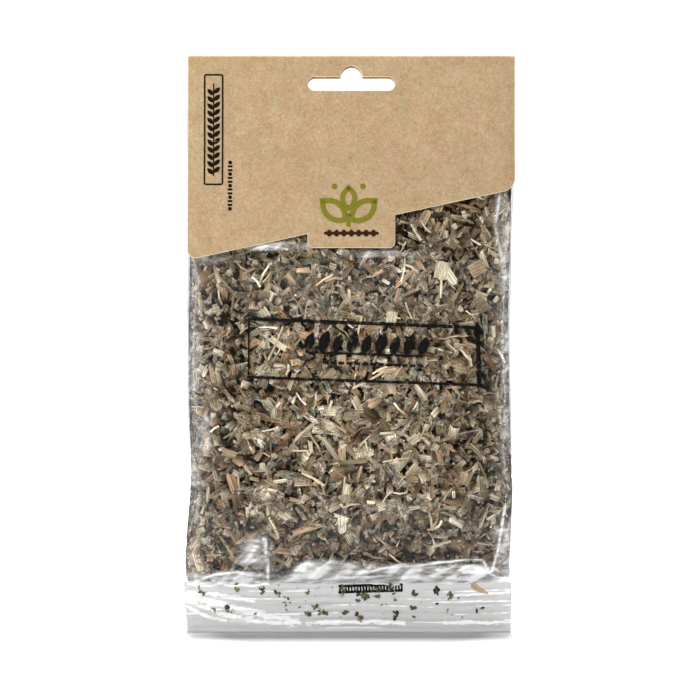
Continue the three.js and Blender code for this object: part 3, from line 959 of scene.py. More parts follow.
def herb_finish(name, palette, stretch, swirl, contrast, roughness, relief):
    """A dry plant surface: tint picks from the palette, streaks of fibre run along the bit, and a
    painted shade darkens the bits that lie deep.
    """
    herb = new_material(name)
    tint = add_node(herb, "Attribute", {"attribute_name": "tint"}).outputs["Fac"]
    grain = add_node(herb, "Attribute", {"attribute_name": "grain"}).outputs["Vector"]
    buried = add_node(herb, "Attribute", {"attribute_name": "buried"}).outputs["Fac"]
    stops = [(i / len(palette), linear(code)) for i, code in enumerate(palette)]
    tone = add_node(herb, "ValToRGB", {"stops": stops}, Fac=tint)
    tone.color_ramp.interpolation = "CONSTANT"
    lined = add_node(herb, "Mapping", Vector=grain, Scale=stretch)
    fibre = add_node(
        herb, "TexNoise", Vector=lined, Scale=1.0, Detail=3.0, Roughness=0.65, Distortion=swirl
    )
    dark, light = contrast
    shade = add_node(
        herb, "MapRange", Value=fibre, From_Min=FIBRE_LOW, From_Max=FIBRE_HIGH, To_Min=dark, To_Max=light
    )
    # one bit is darker than the next by age and by how it was dried
    scrambled = add_node(herb, "Math", MULTIPLY, at0=tint, at1=37.0)
    scrambled = add_node(herb, "Math", {"operation": "FRACT"}, at0=scrambled)
    aged = add_node(herb, "MapRange", Value=scrambled, To_Min=0.52, To_Max=1.86)
    shade = add_node(herb, "Math", MULTIPLY, at0=shade, at1=aged)
    # painted shade: the bits that lie deeper under the film are darkened, as the heap would shade them
    painted_shade = add_node(herb, "MapRange", Value=buried, **PAINTED_DEPTH_SHADE)
    shade = add_node(herb, "Math", MULTIPLY, at0=shade, at1=painted_shade)
    warm = add_node(herb, "ValToRGB", {"stops": WARM_STOPS}, Fac=shade)
    warmer = add_node(herb, "Mix", TINT_BY, at0=1.0, at6=tone, at7=warm)
    skin = add_node(
        herb,
        "BsdfPrincipled",
        Base_Color=add_node(herb, "Mix", TINT_BY, at0=1.0, at6=warmer, at7=shade),
        Roughness=roughness,
        Normal=add_node(herb, "Bump", Strength=relief, Distance=0.5 * MM, Height=fibre),
        Specular_IOR_Level=0.06,
    )
    return set_surface(herb, skin)

# %% Colours and finishes of the four kinds
# Felty borage leaf, dried to grey-green and brown, crinkled about a millimetre wide.
LEAF_COLOURS = [
    "#afa193", "#bcb097", "#a0927e", "#cabcab", "#ad9e8b", "#948d78", "#b4a898", "#bea280",
    "#9e9f8b", "#cfc4b4", "#998067", "#b1a184", "#c4b6a5", "#9a9681",
]
# Split stem: tan to yellow brown, with fibres about half a millimetre apart.
CHIP_COLOURS = [
    "#c3b59a", "#b7a083", "#d3c7b1", "#aa967c", "#c0b59d", "#b79b80", "#d7ccb7", "#9e8a70",
    "#ba9d7f", "#c7bba0", "#9c7f67", "#a69d85", "#bbaf94",
]
# Thin stalks, bleached and smooth, and the dust of everything.
STALK_COLOURS = ["#d9cdb7", "#c8b89e", "#e3d7c6", "#bba68c", "#d0c0a2", "#a08d77"]
CRUMB_COLOURS = ["#8c7d6f", "#6b5f53", "#a69884", "#9e8167", "#949181", "#bcac96", "#564f48"]

#  name, colours, stretch of the fibres, swirl, dark and light of the fibres, roughness, relief
FINISHES = {
    "leaf": ("dried_felty_leaf", LEAF_COLOURS, (0.8, 3.0, 3.0), 1.3, (0.14, 1.6), 0.8, 1.0),
    "chip": ("split_dry_stem", CHIP_COLOURS, (0.14, 3.6, 1.4), 0.3, (0.38, 1.42), 0.6, 0.8),
    "stalk": ("dry_stalk", STALK_COLOURS, (0.3, 2.5, 2.5), 0.2, (0.5, 1.15), 0.6, 0.5),
    "crumb": ("herb_crumb", CRUMB_COLOURS, (1.0, 1.0, 1.0), 0.5, (0.4, 1.35), 0.9, 0.6),
}
HERB_MATERIALS = {kind: herb_finish(*finish) for kind, finish in FINISHES.items()}

# %% Lay the herb on both faces
herb_rng = np.random.default_rng(11)
for side, placed, face in ((-1, front_bits, "front"), (1, back_bits, "back")):
    for kind, material in HERB_MATERIALS.items():
        heap = stamp(f"herb_{kind}_bits_{face}", placed, kind, side, herb_rng)
        dress(heap, "dried_herb", material, smooth=False)

# %% [markdown]
# ## Rolled tubes: the core of the herb, the film and the seal
# A pouch like this starts as a flat web of film that a machine rolls round a tube and welds. The
# same is done here. A flat grid is made, every point is carried round the pouch's section, the
# meeting edges are merged, and the two open ends are closed.

# %% Roll a grid into a closed tube
def roll_tube(name, columns, levels, half_width, depth):
    """Rolls a grid with one row of points at each level, from the bottom up.

    depth(side, x, z) is the distance of a face from the middle plane. side is -1 in front."""
    start_clean()
    bpy.ops.mesh.primitive_grid_add(x_subdivisions=columns, y_subdivisions=len(levels) - 1, size=2)
    tube = named(name)
    grid = points_of(tube) * MM
    around, row = grid[:, 0], np.rint((grid[:, 1] + 1) / 2 * (len(levels) - 1)).astype(int)
    z = np.asarray(levels)[row]
    side = np.where(np.abs(around) <= 0.5, -1.0, 1.0)
    folded = np.where(np.abs(around) <= 0.5, around, np.sign(around) * (1 - np.abs(around)))
    share = mix(2 * folded, np.sin(math.pi * folded), 0.4)
    x = half_width(np.sign(folded), z) * share
    x = x + swell(x, z)
    y = side * np.where(np.abs(share) > 0.9999, 0.0, depth(side, x, z))
    set_points(tube, np.column_stack([x, y, z]))
    edit_all()
    bpy.ops.mesh.remove_doubles(threshold=1e-7)
    bpy.ops.mesh.select_all(action="DESELECT")
    bpy.ops.mesh.select_non_manifold()
    bpy.ops.mesh.fill_holes(sides=0)
    face_outwards()
    return tube


CORE_SIDE_GAP = 5.0
CORE_DEPTH_GAP = 0.9 * HEAP_DEPTH


def core_width(side, z):
    return pouch_half_width(z) - CORE_SIDE_GAP


def core_depth(side, x, z):
    return np.maximum(0.15, herb_room(x * 1.05, z) - CORE_DEPTH_GAP)


# Packed fine herb behind the single bits, in nearly black colours that are painted shade. It is seen
# only as the dark at the bottom of the gaps.
PACKED_SHADE_COLOURS = ["#3a3024", "#453a2a"]
packed_herb_shade = herb_finish("packed_herb_shade", PACKED_SHADE_COLOURS, (1, 1, 1), 0.5, (0.4, 1.1), 0.95, 0.6)
core_levels = np.linspace(HERB_BOTTOM + 5, HERB_TOP - 2, 100)
core = roll_tube("herb_core", 96, core_levels, core_width, core_depth)
paint(core, "tint", np.full(len(core.data.vertices), 0.3))
# the core also takes the painted shade of a bit half deep under the film
paint(core, "buried", np.full(len(core.data.vertices), 0.5))
paint(core, "grain", points_of(core))
dress(core, "dried_herb", packed_herb_shade)
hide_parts("dried_borage")

# %% [markdown]
# ## The clear film pouch
# The film is polypropylene, about 0.05 mm thick, so thin that it shows only by what it reflects. It
# is stretched over the heap, spans the hollows between the bits and gathers into small folds at the
# sides and above the bottom seal. Each fold is given as a line on the pouch, with its width,
# its height and how white it looks, which is partly the film's haze and partly a painted highlight.

# %% Folds of the film
LONG_FOLD = [(-0.5, -187.5), (6.8, -184.6), (12.3, -183.3), (21.5, -182.8), (32.5, -181.3)]
#   side, points (x, z) in mm, half width, height, whiteness (the film's haze and a painted highlight)
FOLDS = [
    # front: the long fold above the seal, its turn at the right and the slack streaks below it
    (-1, LONG_FOLD, 0.75, 0.8, 0.95),
    (-1, [(32.5, -181.3), (43.5, -180.2), (48.3, -180.6)], 0.6, 0.7, 0.8),
    (-1, [(48.3, -180.6), (50.9, -185.7), (53.8, -186.8), (58.2, -187.5)], 0.5, 0.5, 0.75),
    (-1, [(-24.0, -188.4), (-19.6, -187.5), (-4.9, -187.5), (-0.5, -187.2)], 0.5, 0.5, 0.9),
    (-1, [(-19.0, -185.9), (-14.1, -182.0), (-8.0, -181.4), (-1.5, -182.4)], 0.8, 0.4, 0.4),
    (-1, [(4.0, -187.4), (16.0, -185.6), (30.0, -184.6), (44.0, -185.8)], 0.6, 0.35, 0.6),
    (-1, [(9.0, -188.3), (22.0, -187.3), (36.0, -187.6)], 0.5, 0.3, 0.55),
    (-1, [(12.0, -185.0), (21.0, -184.0), (33.0, -182.6)], 0.5, 0.3, 0.5),
    # front: the corner at the lower right
    (-1, [(56.4, -160.0), (53.8, -176.5), (51.6, -184.5)], 0.65, 0.5, 0.7),
    (-1, [(52.2, -182.9), (54.5, -185.4), (59.0, -186.4)], 0.6, 0.3, 0.5),
    (-1, [(58.9, -164.0), (56.6, -171.0), (58.6, -180.0)], 0.6, 0.3, 0.45),
    # front: the stood-up fold and the wavy one at the lower left
    (-1, [(-31.7, -172.5), (-30.8, -180.6), (-30.6, -188.0)], 0.7, 0.9, 0.8),
    (-1, [(-36.2, -175.0), (-42.0, -180.6), (-45.0, -186.0)], 0.6, 0.4, 0.3),
    (-1, [(-55.0, -187.6), (-50.1, -185.9), (-41.6, -184.8), (-38.7, -186.8)], 0.55, 0.5, 0.85),
    (-1, [(-38.7, -186.8), (-36.5, -188.3), (-32.8, -188.9)], 0.5, 0.4, 0.8),
    # front: small folds along the side edges
    (-1, [(-58.0, -70.0), (-56.0, -78.0), (-57.5, -92.0)], 0.6, 0.22, 0.16),
    (-1, [(-58.0, -118.0), (-55.5, -128.0), (-57.0, -140.0)], 0.6, 0.22, 0.16),
    (-1, [(-58.4, -142.0), (-55.2, -152.0), (-56.8, -166.0)], 0.75, 0.22, 0.16),
    (-1, [(58.0, -60.0), (56.5, -72.0), (57.5, -84.0)], 0.75, 0.18, 0.16),
    (-1, [(58.0, -104.0), (56.0, -112.0), (57.5, -124.0)], 0.75, 0.18, 0.16),
    (-1, [(58.2, -128.0), (55.0, -140.0), (57.6, -154.0)], 0.75, 0.18, 0.16),
    (-1, [(54.5, -46.0), (52.8, -58.0), (55.4, -72.0)], 0.75, 0.25, 0.35),
    # rear
    (1, [(-30, -189), (-8, -184), (18, -186), (40, -181), (52, -189)], 1.2, 0.6, 0.6),
    (1, [(-56, -188), (-50, -178), (-58, -168)], 0.9, 0.5, 0.5),
    (1, [(58, -176), (53, -183), (52, -190)], 0.9, 0.5, 0.5),
]
#   patches that stand off the herb and look milky, and patches of painted reflection under the card:
#   side, x, z, half width, half height, amount
HAZE_AND_SHEEN_PATCHES = [
    (-1, 26.0, -185.8, 25, 3.4, 1.25),
    (-1, -10.0, -184.8, 11, 3.6, 1.15),
    (-1, -35.6, -178.0, 5.6, 5.8, 0.46),
    (-1, -42.0, -187.0, 8.5, 2.3, 0.85),
    (-1, -57.0, -189.5, 3, 1.6, 0.15),
    (-1, 56.0, -176.0, 3.6, 11, 0.36),
    (-1, -58.6, -150.0, 1.6, 12, 0.14),
    (-1, -58.0, -100.0, 3.0, 22, 0.09),
    (-1, 57.4, -96.0, 2.8, 38, 0.28),
    # painted reflections of the lamps, in the film just under the card's lower edge
    (-1, -26.0, -65.5, 12, 1.6, 0.35),
    (-1, -52.0, -69.5, 6, 2.2, 0.3),
    (-1, 10.0, -68.6, 14, 1.3, 0.3),
    (-1, -53.5, -134.0, 2.0, 6, 0.35),
    (-1, -2.0, -82.0, 46, 11, 0.035),
    (1, 0, -187, 46, 4.5, 0.6),
]
print("the film has", len(FOLDS), "folds and", len(HAZE_AND_SHEEN_PATCHES), "slack patches")

# %% Waves, lines and patches on the film
#  fields of waves in mm: a seed, how many waves, and the shortest and longest of them
SIDE_WOBBLE = (5, 5, 6, 30)
SLACK = (31, 8, 5, 18)
CLOUDS = (51, 8, 4, 16)
CREASES = (53, 5, 7.0, 26.0)
CRUMPLE = (54, 8, 4, 12)
FINE_RIPPLE = (77, 10, 2.5, 9)


def waves(x, z, seed, count, shortest, longest):
    """A smooth random field between about -1 and 1, made of a few plane waves."""
    rng = np.random.default_rng(seed)
    total = np.zeros(np.broadcast(x, z).shape)
    for _ in range(count):
        length = rng.uniform(shortest, longest)
        turn = rng.uniform(0, math.pi)
        phase = rng.uniform(0, 2 * math.pi)
        total = total + np.sin((x * math.cos(turn) + z * math.sin(turn)) * 2 * math.pi / length + phase)
    return total / math.sqrt(count)


def creases(x, z):
    """Thin crossing lines where a smooth field passes through zero."""
    return np.exp(-np.abs(waves(x, z, *CREASES)) * 4.0)


def distance_to_line(x, z, line):
    """The distance of each point from a line through a few points."""
    nearest = np.full(np.shape(x), 1e9)
    for (ax, az), (bx, bz) in zip(line, line[1:]):
        lx, lz = bx - ax, bz - az
        t = np.clip(((x - ax) * lx + (z - az) * lz) / (lx * lx + lz * lz), 0, 1)
        nearest = np.minimum(nearest, np.hypot(x - ax - t * lx, z - az - t * lz))
    return nearest


def near_line(x, z, line, width):
    """1 on the line, and fading to 0 past its width."""
    return np.exp(-((distance_to_line(x, z, line) / width) ** 2))


def in_patch(x, z, px, pz, wide, high):
    """1 inside the patch, with a soft edge."""
    return np.exp(-(((x - px) / wide) ** 4 + ((z - pz) / high) ** 4))


print("creases in the film run", CREASES[2], "to", CREASES[3], "mm apart")

# %% The film's shape
FILM_LIFT = 0.02  # clears the bits by a hair
SIDE_FILM_GAP = 0.25  # along the sides the film lies this far outside the plain section
SIDE_FILM_AT = (0.8, 0.14)  # from where on, and over how much of the half width
# the most that a fold stands off the plain section at a side, and how much more it may elsewhere
SIDE_ROOM, FOLD_ROOM = 0.27, 0.45
CREASE_ROUND = 0.12
THINNEST = 0.12  # the two faces never come closer to the middle plane


def film_side_width(side, z):
    """The side folds are not quite straight: the heap pushes them out a little here and there."""
    wobble = 0.16 * waves(side * 40.0 + 0 * z, z, *SIDE_WOBBLE)
    fade = ramp((COLLAR_BOTTOM - z) / 20) * ramp((z - SEAL_TOP) / 8)
    return pouch_half_width(z) + wobble * fade


def film_depth(side, x, z):
    """The film over the heap, from the drape, the folds and the pouch's own section."""
    even = x - swell(x, z)
    share = even / film_side_width(1, z)
    plain = pouch_half_depth(z) * lens(share)
    draped = np.where(side < 0, sample(front_drape, even, z), sample(back_drape, -even, z))
    aside = ramp((np.abs(share) - SIDE_FILM_AT[0]) / SIDE_FILM_AT[1])
    over_heap = mix(held_in(draped, plain, share), plain + SIDE_FILM_GAP, aside)
    in_heap = ramp((HERB_TOP + 1 - z) / 5) * ramp((z - HERB_BOTTOM + 1) / 3)
    slack = 0.75 * plain + 0.12 * waves(x, z, *SLACK) * np.minimum(plain, 1)
    depth = mix(slack, over_heap, in_heap)
    for fold_side, line, width, height, _ in FOLDS:
        depth = depth + np.where(side == fold_side, height * near_line(x, z, line, width), 0)
    crumple = 0.7 * creases(x, z) + 0.1 * waves(x, z, *CRUMPLE)
    for patch_side, *patch, amount in HAZE_AND_SHEEN_PATCHES:
        depth = depth + np.where(side == patch_side, amount * in_patch(x, z, *patch) * crumple, 0)
    depth = depth + 0.05 * waves(x, z, *FINE_RIPPLE)
    # the limit is rounded off, because a film that is cut off at it would get a hard crease
    limit = plain + SIDE_ROOM + FOLD_ROOM * ramp((1 - np.abs(share)) * 8)
    return np.maximum(rounded_min(depth, limit, CREASE_ROUND), THINNEST) + FILM_LIFT


BELLY = np.array([0.0]), np.array([-120.0])  # a point in the middle of the front
print("film at the belly:", round(float(film_depth(-1.0, *BELLY)[0]), 1), "mm from the middle plane")

# %% How white the film is painted: its haze and painted sheen
EDGE_HAZE_AND_SHEEN = 0.06
HAZE_AND_LIGHT_ABOVE_SEAL = 0.3


def haze_and_painted_sheen(side, x, z):
    """How white the film is painted at folds, at slack patches and along its side edges: partly the
    film's own haze, partly painted highlights and reflections.
    """
    cloud = 0.46 + 0.42 * np.clip(waves(x, z, *CLOUDS), -0.5, 1) + 1.2 * creases(x, z)
    haze_and_sheen = np.zeros(np.shape(x))
    for fold_side, line, width, _, amount in FOLDS:
        near = near_line(x, z, line, 0.75 * width)
        haze_and_sheen = np.maximum(haze_and_sheen, np.where(side == fold_side, 1.1 * amount * near, 0))
    for patch_side, *patch, amount in HAZE_AND_SHEEN_PATCHES:
        inside = in_patch(x, z, *patch)
        haze_and_sheen = np.maximum(haze_and_sheen, np.where(side == patch_side, amount * inside * cloud, 0))
    from_edge = film_side_width(1, z) - np.abs(x - swell(x, z))
    beside_edge = np.exp(-from_edge / 3.2) + 0.45 * np.exp(-((from_edge / 8.0) ** 2))
    # along the side edges the white is partly the film's haze and partly a painted reflection, where the
    # film turns to a grazing angle
    haze_and_sheen = haze_and_sheen + EDGE_HAZE_AND_SHEEN * beside_edge * (0.4 + cloud)
    # above the seal the film is painted whiter: partly its crumpled haze, partly painted light where the
    # tapering film faces away from the lamps
    above_seal = ramp((z + 183) / -6) * np.where(side < 0, 1, 0.7)
    return np.clip(haze_and_sheen + HAZE_AND_LIGHT_ABOVE_SEAL * above_seal * (0.4 + cloud), 0, 1)


print("film at the belly:", round(100 * float(haze_and_painted_sheen(-1.0, *BELLY)[0])), "% white")

# %% Clear film
def add_gloss_share(material, gloss):
    """The share of light that film mirrors: 3 % head on, 60 % at a grazing angle, times gloss.

    A Fresnel node would take the film for the inside of a solid block when light comes from the
    herb, and hold that light back, so the curve is built from the angle alone."""
    angle = add_node(material, "LayerWeight", Blend=0.5).outputs["Facing"]
    rise = add_node(material, "Math", {"operation": "POWER"}, at0=angle, at1=5.0)
    most = min(1.0, 0.6 * gloss)
    return add_node(material, "MapRange", Value=rise, To_Min=0.03 * gloss, To_Max=most)


def make_film():
    """Cast polypropylene film: smooth on both faces, so it mirrors lamps, and white where it folds,
    partly by its haze and partly by a painted highlight.
    """
    film = new_material("clear_polypropylene_film")
    clear = add_node(film, "BsdfTransparent", Color=(0.97, 0.975, 0.975, 1))
    mirror = add_node(film, "BsdfGlossy", Color=(1, 1, 1, 1), Roughness=0.05)
    skin = add_node(film, "MixShader", Fac=add_gloss_share(film, 1.0), at1=clear, at2=mirror)
    milk_and_sheen = add_node(film, "BsdfPrincipled", Base_Color=linear("#fafafa"), Roughness=0.35)
    amount = add_node(film, "Attribute", {"attribute_name": "milk_and_sheen"}).outputs["Fac"]
    # the haze and the painted sheen break up into streaks about 2 mm high and 6 mm long
    place = add_node(film, "TexCoord").outputs["Object"]
    level = add_node(film, "Mapping", Vector=place, Scale=(0.28, 1.0, 1.0))
    streaks = add_node(
        film, "TexNoise", Vector=level, Scale=600.0, Detail=4.0, Roughness=0.55, Distortion=0.4
    )
    broken = add_node(
        film, "MapRange", Value=streaks, From_Min=0.34, From_Max=0.64, To_Min=0.4, To_Max=1.5
    )
    limited = {"operation": "MULTIPLY", "use_clamp": True}
    amount = add_node(film, "Math", limited, at0=amount, at1=broken)
    return set_surface(film, add_node(film, "MixShader", Fac=amount, at1=skin, at2=milk_and_sheen))


clear_film = make_film()

# %% Roll the pouch
SEAL_ROWS = np.linspace(SEAL_TOP - 0.6, -172, 48)  # close together, where the folds are
BODY_ROWS = np.linspace(-171, -39, 196)
COLLAR_ROWS = np.linspace(-37, POUCH_MOUTH, 12)
FILM_ROWS = np.concatenate([SEAL_ROWS, BODY_ROWS, COLLAR_ROWS])
pouch = roll_tube("clear_film_pouch", 300, FILM_ROWS, film_side_width, film_depth)
x, y, z = points_of(pouch).T
paint(pouch, "milk_and_sheen", haze_and_painted_sheen(np.sign(y), x, z))
dress(pouch, "clear_film", clear_film)
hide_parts("film_pouch")

# %% [markdown]
# ## The crimped bottom seal
# Two hot ribbed bars weld the film shut. Their ribs stay in the weld as fine level ridges, whose
# glints of the lamps are painted on as white lines. Where a bar pressed less, the faces part again and
# look white.

# %% Bottom seal
SEAL_FOOT = POUCH_BOTTOM - 0.8
SEAL_RIB_PITCH = 2.8
SEAL_RIB_HEIGHT = 0.14
#  loose places: points (x, z) in mm and a half width
UNWELDED = [
    # the wedge at the left, as streaks that fan out from the edge
    ([(-60, -192.4), (-48, -193.4), (-36, -195.6)], 0.7),
    ([(-60, -193.6), (-47, -197.0), (-33, -200.6), (-20, -203.2)], 1.4),
    ([(-60, -195.2), (-50, -199.6), (-38, -202.6), (-22, -204.0)], 1.0),
    ([(-60, -197.5), (-54, -201.0), (-46, -202.8)], 0.6),
    # the ragged line near the lower edge, and short ones at the top
    ([(-16, -203.8), (-4, -203.4), (10, -203.2), (19, -203.9)], 0.8),
    ([(34, -203.6), (42, -203.2), (50, -203.7), (60, -203.0)], 0.7),
    ([(-60, -189.9), (-44, -190.1), (-30, -190.2)], 0.35),
    ([(38, -193.6), (60, -192.4)], 0.4),
    ([(30, -196.2), (60, -195.4)], 0.3),
]


print("the seal has", len(UNWELDED), "loose places")

# %% The seal's shape
#  fields of waves, as for the film
RIB_WANDER = (91, 4, 30, 90)
RIB_UNEVEN = (92, 6, 8, 40)
SEAL_RIPPLE = (93, 8, 2.5, 8)
LOOSE_CRUMPLE = (94, 10, 1.6, 5)
SEAL_MOTTLE = (95, 8, 3, 12)
LINE_REACH = (97, 6, 14, 60)
LINE_BREAKS = (98, 6, 2, 7)
RAGGED_RIM = (58, 7, 3, 22)
SEAL_TAPER = 1.2  # the seal's foot is narrower by this much each side


def seal_width(side, z):
    foot = POUCH_HALF_WIDTH - SEAL_TAPER
    return mix(POUCH_HALF_WIDTH, foot, ramp((SEAL_TOP - z) / 17)) + 0 * side


def along_ribs(x, z):
    """The height as the ribs have it, which wander up and down a little over the seal's width."""
    return z + 0.5 * waves(x, 0 * z, *RIB_WANDER)


def seal_depth(side, x, z):
    ribs = np.cos(along_ribs(x, z) * 2 * math.pi / SEAL_RIB_PITCH)
    uneven = 0.65 + 0.35 * waves(x, z, *RIB_UNEVEN)
    ripple = 0.05 * waves(x, z, *SEAL_RIPPLE)
    loose = np.maximum.reduce([near_line(x, z, line, width) for line, width in UNWELDED])
    crumple = 0.16 * loose * waves(x, z, *LOOSE_CRUMPLE)
    even = x - swell(x, z)
    at_side = np.clip((1 - np.abs(even) / 59.9) * 30 + 0.3, 0, 1)
    ends = np.clip((z - SEAL_FOOT) / 0.6, 0.25, 1) * at_side
    return (SEAL_HALF_DEPTH + SEAL_RIB_HEIGHT * ribs * uneven + ripple + crumple) * ends + 0.05


def seal_painted_highlights(x, z):
    """Painted highlights: thin broken white lines along the ribs, halfway between their crests."""
    turn = along_ribs(x, z) / SEAL_RIB_PITCH
    row = np.floor(turn)
    from_line = np.abs(turn - row - 0.5) * SEAL_RIB_PITCH
    reach = waves(x + 37 * row, 17 * row + 0 * z, *LINE_REACH) + 0.35 * waves(x, z, *LINE_BREAKS)
    thick = 0.1 + 0.16 * np.clip(reach, 0, 1.5)
    haze_and_sheen = np.clip(0.2 + reach, 0, 1) * np.exp(-((from_line / thick) ** 4)) * 0.95
    above_rim = ramp((z - SEAL_FOOT - 1.4) / 0.6)
    return np.clip(haze_and_sheen * above_rim + 0.04 * waves(x, z, *SEAL_MOTTLE), 0, 1)


def seal_looseness(x, z):
    """1 on the middle line of the loose places, 0.5 at their edges and 0 far off."""
    steps = [1 - 0.5 * distance_to_line(x, z, line) / width for line, width in UNWELDED]
    return np.clip(np.maximum.reduce(steps), 0, 1)


print("ribs across the seal:", int((SEAL_TOP - SEAL_FOOT) / SEAL_RIB_PITCH))

# %% Welded film
def make_seal_film():
    """Welded polypropylene: the same clear film, greyed by the weld, white where it is loose, and with
    painted highlight lines along its ribs.
    """
    weld = new_material("welded_polypropylene")
    twice = add_gloss_share(weld, 2.0)
    mirror = add_node(weld, "BsdfGlossy", Color=(1, 1, 1, 1), Roughness=0.14)
    highlight_lines = add_node(weld, "Attribute", {"attribute_name": "milk_and_sheen"}).outputs["Fac"]
    loose = add_node(weld, "Attribute", {"attribute_name": "loose"}).outputs["Fac"]
    # the loose places end in level streaks, about 5 mm long and half a millimetre high
    place = add_node(weld, "TexCoord").outputs["Object"]
    level = add_node(weld, "Mapping", Vector=place, Scale=(0.16, 1.0, 1.0))
    streak = add_node(weld, "TexNoise", Vector=level, Scale=1500.0, Detail=3.0, Roughness=0.6)
    torn = add_node(
        weld, "MapRange", Value=streak, From_Min=0.3, From_Max=0.7, To_Min=-0.4, To_Max=0.4
    )
    edge = add_node(weld, "Math", {"operation": "ADD"}, at0=loose, at1=torn)
    white = add_node(weld, "MapRange", Value=edge, From_Min=0.5, From_Max=0.72)
    amount = add_node(weld, "Math", {"operation": "MAXIMUM"}, at0=highlight_lines, at1=white)
    # the painted highlight lines and the loose places both go to white
    stops = [(0.05, linear("#cfcfce")), (0.75, linear("#ffffff"))]
    grey = add_node(weld, "ValToRGB", {"stops": stops}, Fac=amount)
    body = add_node(weld, "BsdfDiffuse", Color=grey)
    clear = add_node(weld, "BsdfTransparent", Color=(0.9, 0.9, 0.9, 1))
    dense = add_node(weld, "MixShader", Fac=0.88, at1=clear, at2=body)
    skin = add_node(weld, "MixShader", Fac=twice, at1=dense, at2=mirror)
    return set_surface(weld, skin)


welded_film = make_seal_film()

# %% Roll the seal
seal_rows = np.linspace(SEAL_FOOT, SEAL_TOP, 90)
seal = roll_tube("crimped_bottom_seal", 420, seal_rows, seal_width, seal_depth)
x, y, z = points_of(seal).T
paint(seal, "milk_and_sheen", seal_painted_highlights(x, z))
paint(seal, "loose", seal_looseness(x, z))
# the weld's upper edge is uneven, where the two bars met the first bits of herb
ragged = 0.6 + 0.6 * waves(x, 0 * x, *RAGGED_RIM)
z = z + ramp((z - SEAL_TOP + 3) / 3) * np.clip(ragged, 0, 1.9)
set_points(seal, np.column_stack([x, y, z]))
dress(seal, "clear_film", welded_film)
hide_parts("film_pouch")

# %% [markdown]
# ## Crumbs in the seal
# When such a pouch is filled, dust of the herb sticks to the film and is caught in the weld. The
# crumbs are copies of the same bits, laid flat at the two faces of the seal.

# %% Crumbs caught in the bottom seal
SEAL_CRUMBS = 52
SEAL_SPECKS = 46
CRUMB_LEVEL = SEAL_HALF_DEPTH + 0.12
# the same leaf and dust, but pressed and seen against the light, so nearly black green
CAUGHT_COLOURS = ["#6b6a58", "#4f5144", "#7c775f", "#5c5b4c", "#8a7a60", "#48493f"]
caught_herb = herb_finish("pressed_dark_herb", CAUGHT_COLOURS, (1, 1, 1), 0.5, (0.25, 1.3), 0.8, 0.6)


def scatter_seal_crumbs(rng):
    """Small torn flakes, each made of a few bits that lie close together, and single specks."""
    placed = []
    for number in range(SEAL_CRUMBS):
        x = rng.uniform(-56, 56) if number % 3 else rng.normal(12, 20)
        z = mix(SEAL_TOP - 1, POUCH_BOTTOM + 4.5, rng.beta(1.3, 1.5))
        bits = rng.integers(1, 5)
        spread = (bits - 1) ** 0.5
        for _ in range(bits):
            long = rng.uniform(0.6, 1.3) + 0.25 * bits
            size = (long, long * rng.uniform(0.35, 0.7), 0.22)
            place = (x + rng.normal(0, 0.45 * spread), z + rng.normal(0, 0.3 * spread), CRUMB_LEVEL)
            kind = "leaf" if rng.random() < 0.7 else "crumb"
            placed.append((kind, place, rng.uniform(0, 6.3), (0, 0), size))
    for _ in range(SEAL_SPECKS):
        long = rng.uniform(0.25, 0.75)
        place = (rng.uniform(-56, 50), rng.uniform(POUCH_BOTTOM + 5, SEAL_TOP - 0.8), CRUMB_LEVEL)
        placed.append(("crumb", place, rng.uniform(0, 6.3), (0, 0), (long, 0.6 * long, 0.18)))
    return placed


crumb_rng = np.random.default_rng(23)
for side, face in ((-1, "front"), (1, "back")):
    caught = scatter_seal_crumbs(crumb_rng)
    for kind in ("leaf", "crumb"):
        crumbs = stamp(f"seal_{kind}_bits_{face}", caught, kind, side, crumb_rng, flat=True)
        dress(crumbs, "dried_herb", caught_herb, smooth=False)

# %% One pale flake of stem in the seal
long_points, chip_faces = BITS["chip"][0]
taper = 1.15 - 1.7 * np.abs(long_points[:, :1] - 0.1)  # it ends in a point
BITS["flake"] = [(long_points * np.hstack([taper**0, taper, taper**0]), chip_faces)]
CAUGHT_FLAKE = ("flake", (47.9, -191.3, 0.42), 2.6, (0, 0), (6.8, 5.0, 0.2))
FLAKE_TINT = 0.0949  # the second of the chips' colours, at a middling age
flake = stamp("seal_chip", [CAUGHT_FLAKE], "flake", -1, crumb_rng, flat=True)
flake.data.attributes["tint"].data.foreach_set("value", [FLAKE_TINT] * len(flake.data.vertices))
dress(flake, "dried_herb", HERB_MATERIALS["chip"], smooth=False)

# %% [markdown]
# ## The lap seam on the rear
# The two side edges of the film web overlap up the middle of the rear, where a wheel welds them to
# a flat strip. It stands a little proud, and its free edge shows as a fine line.

# %% Lap seam
SEAM_HALF_WIDTH = 5.0
SEAM_TOP = -33.0
SEAM_BOTTOM = SEAL_TOP + 2.0
SEAM_PROUD = 0.22
SEAM_EDGE = (61, 4, 6, 30)  # fields of waves, as for the film
SEAM_RIPPLE = (62, 8, 2, 8)
SEAM_MOTTLE = (63, 8, 2, 8)


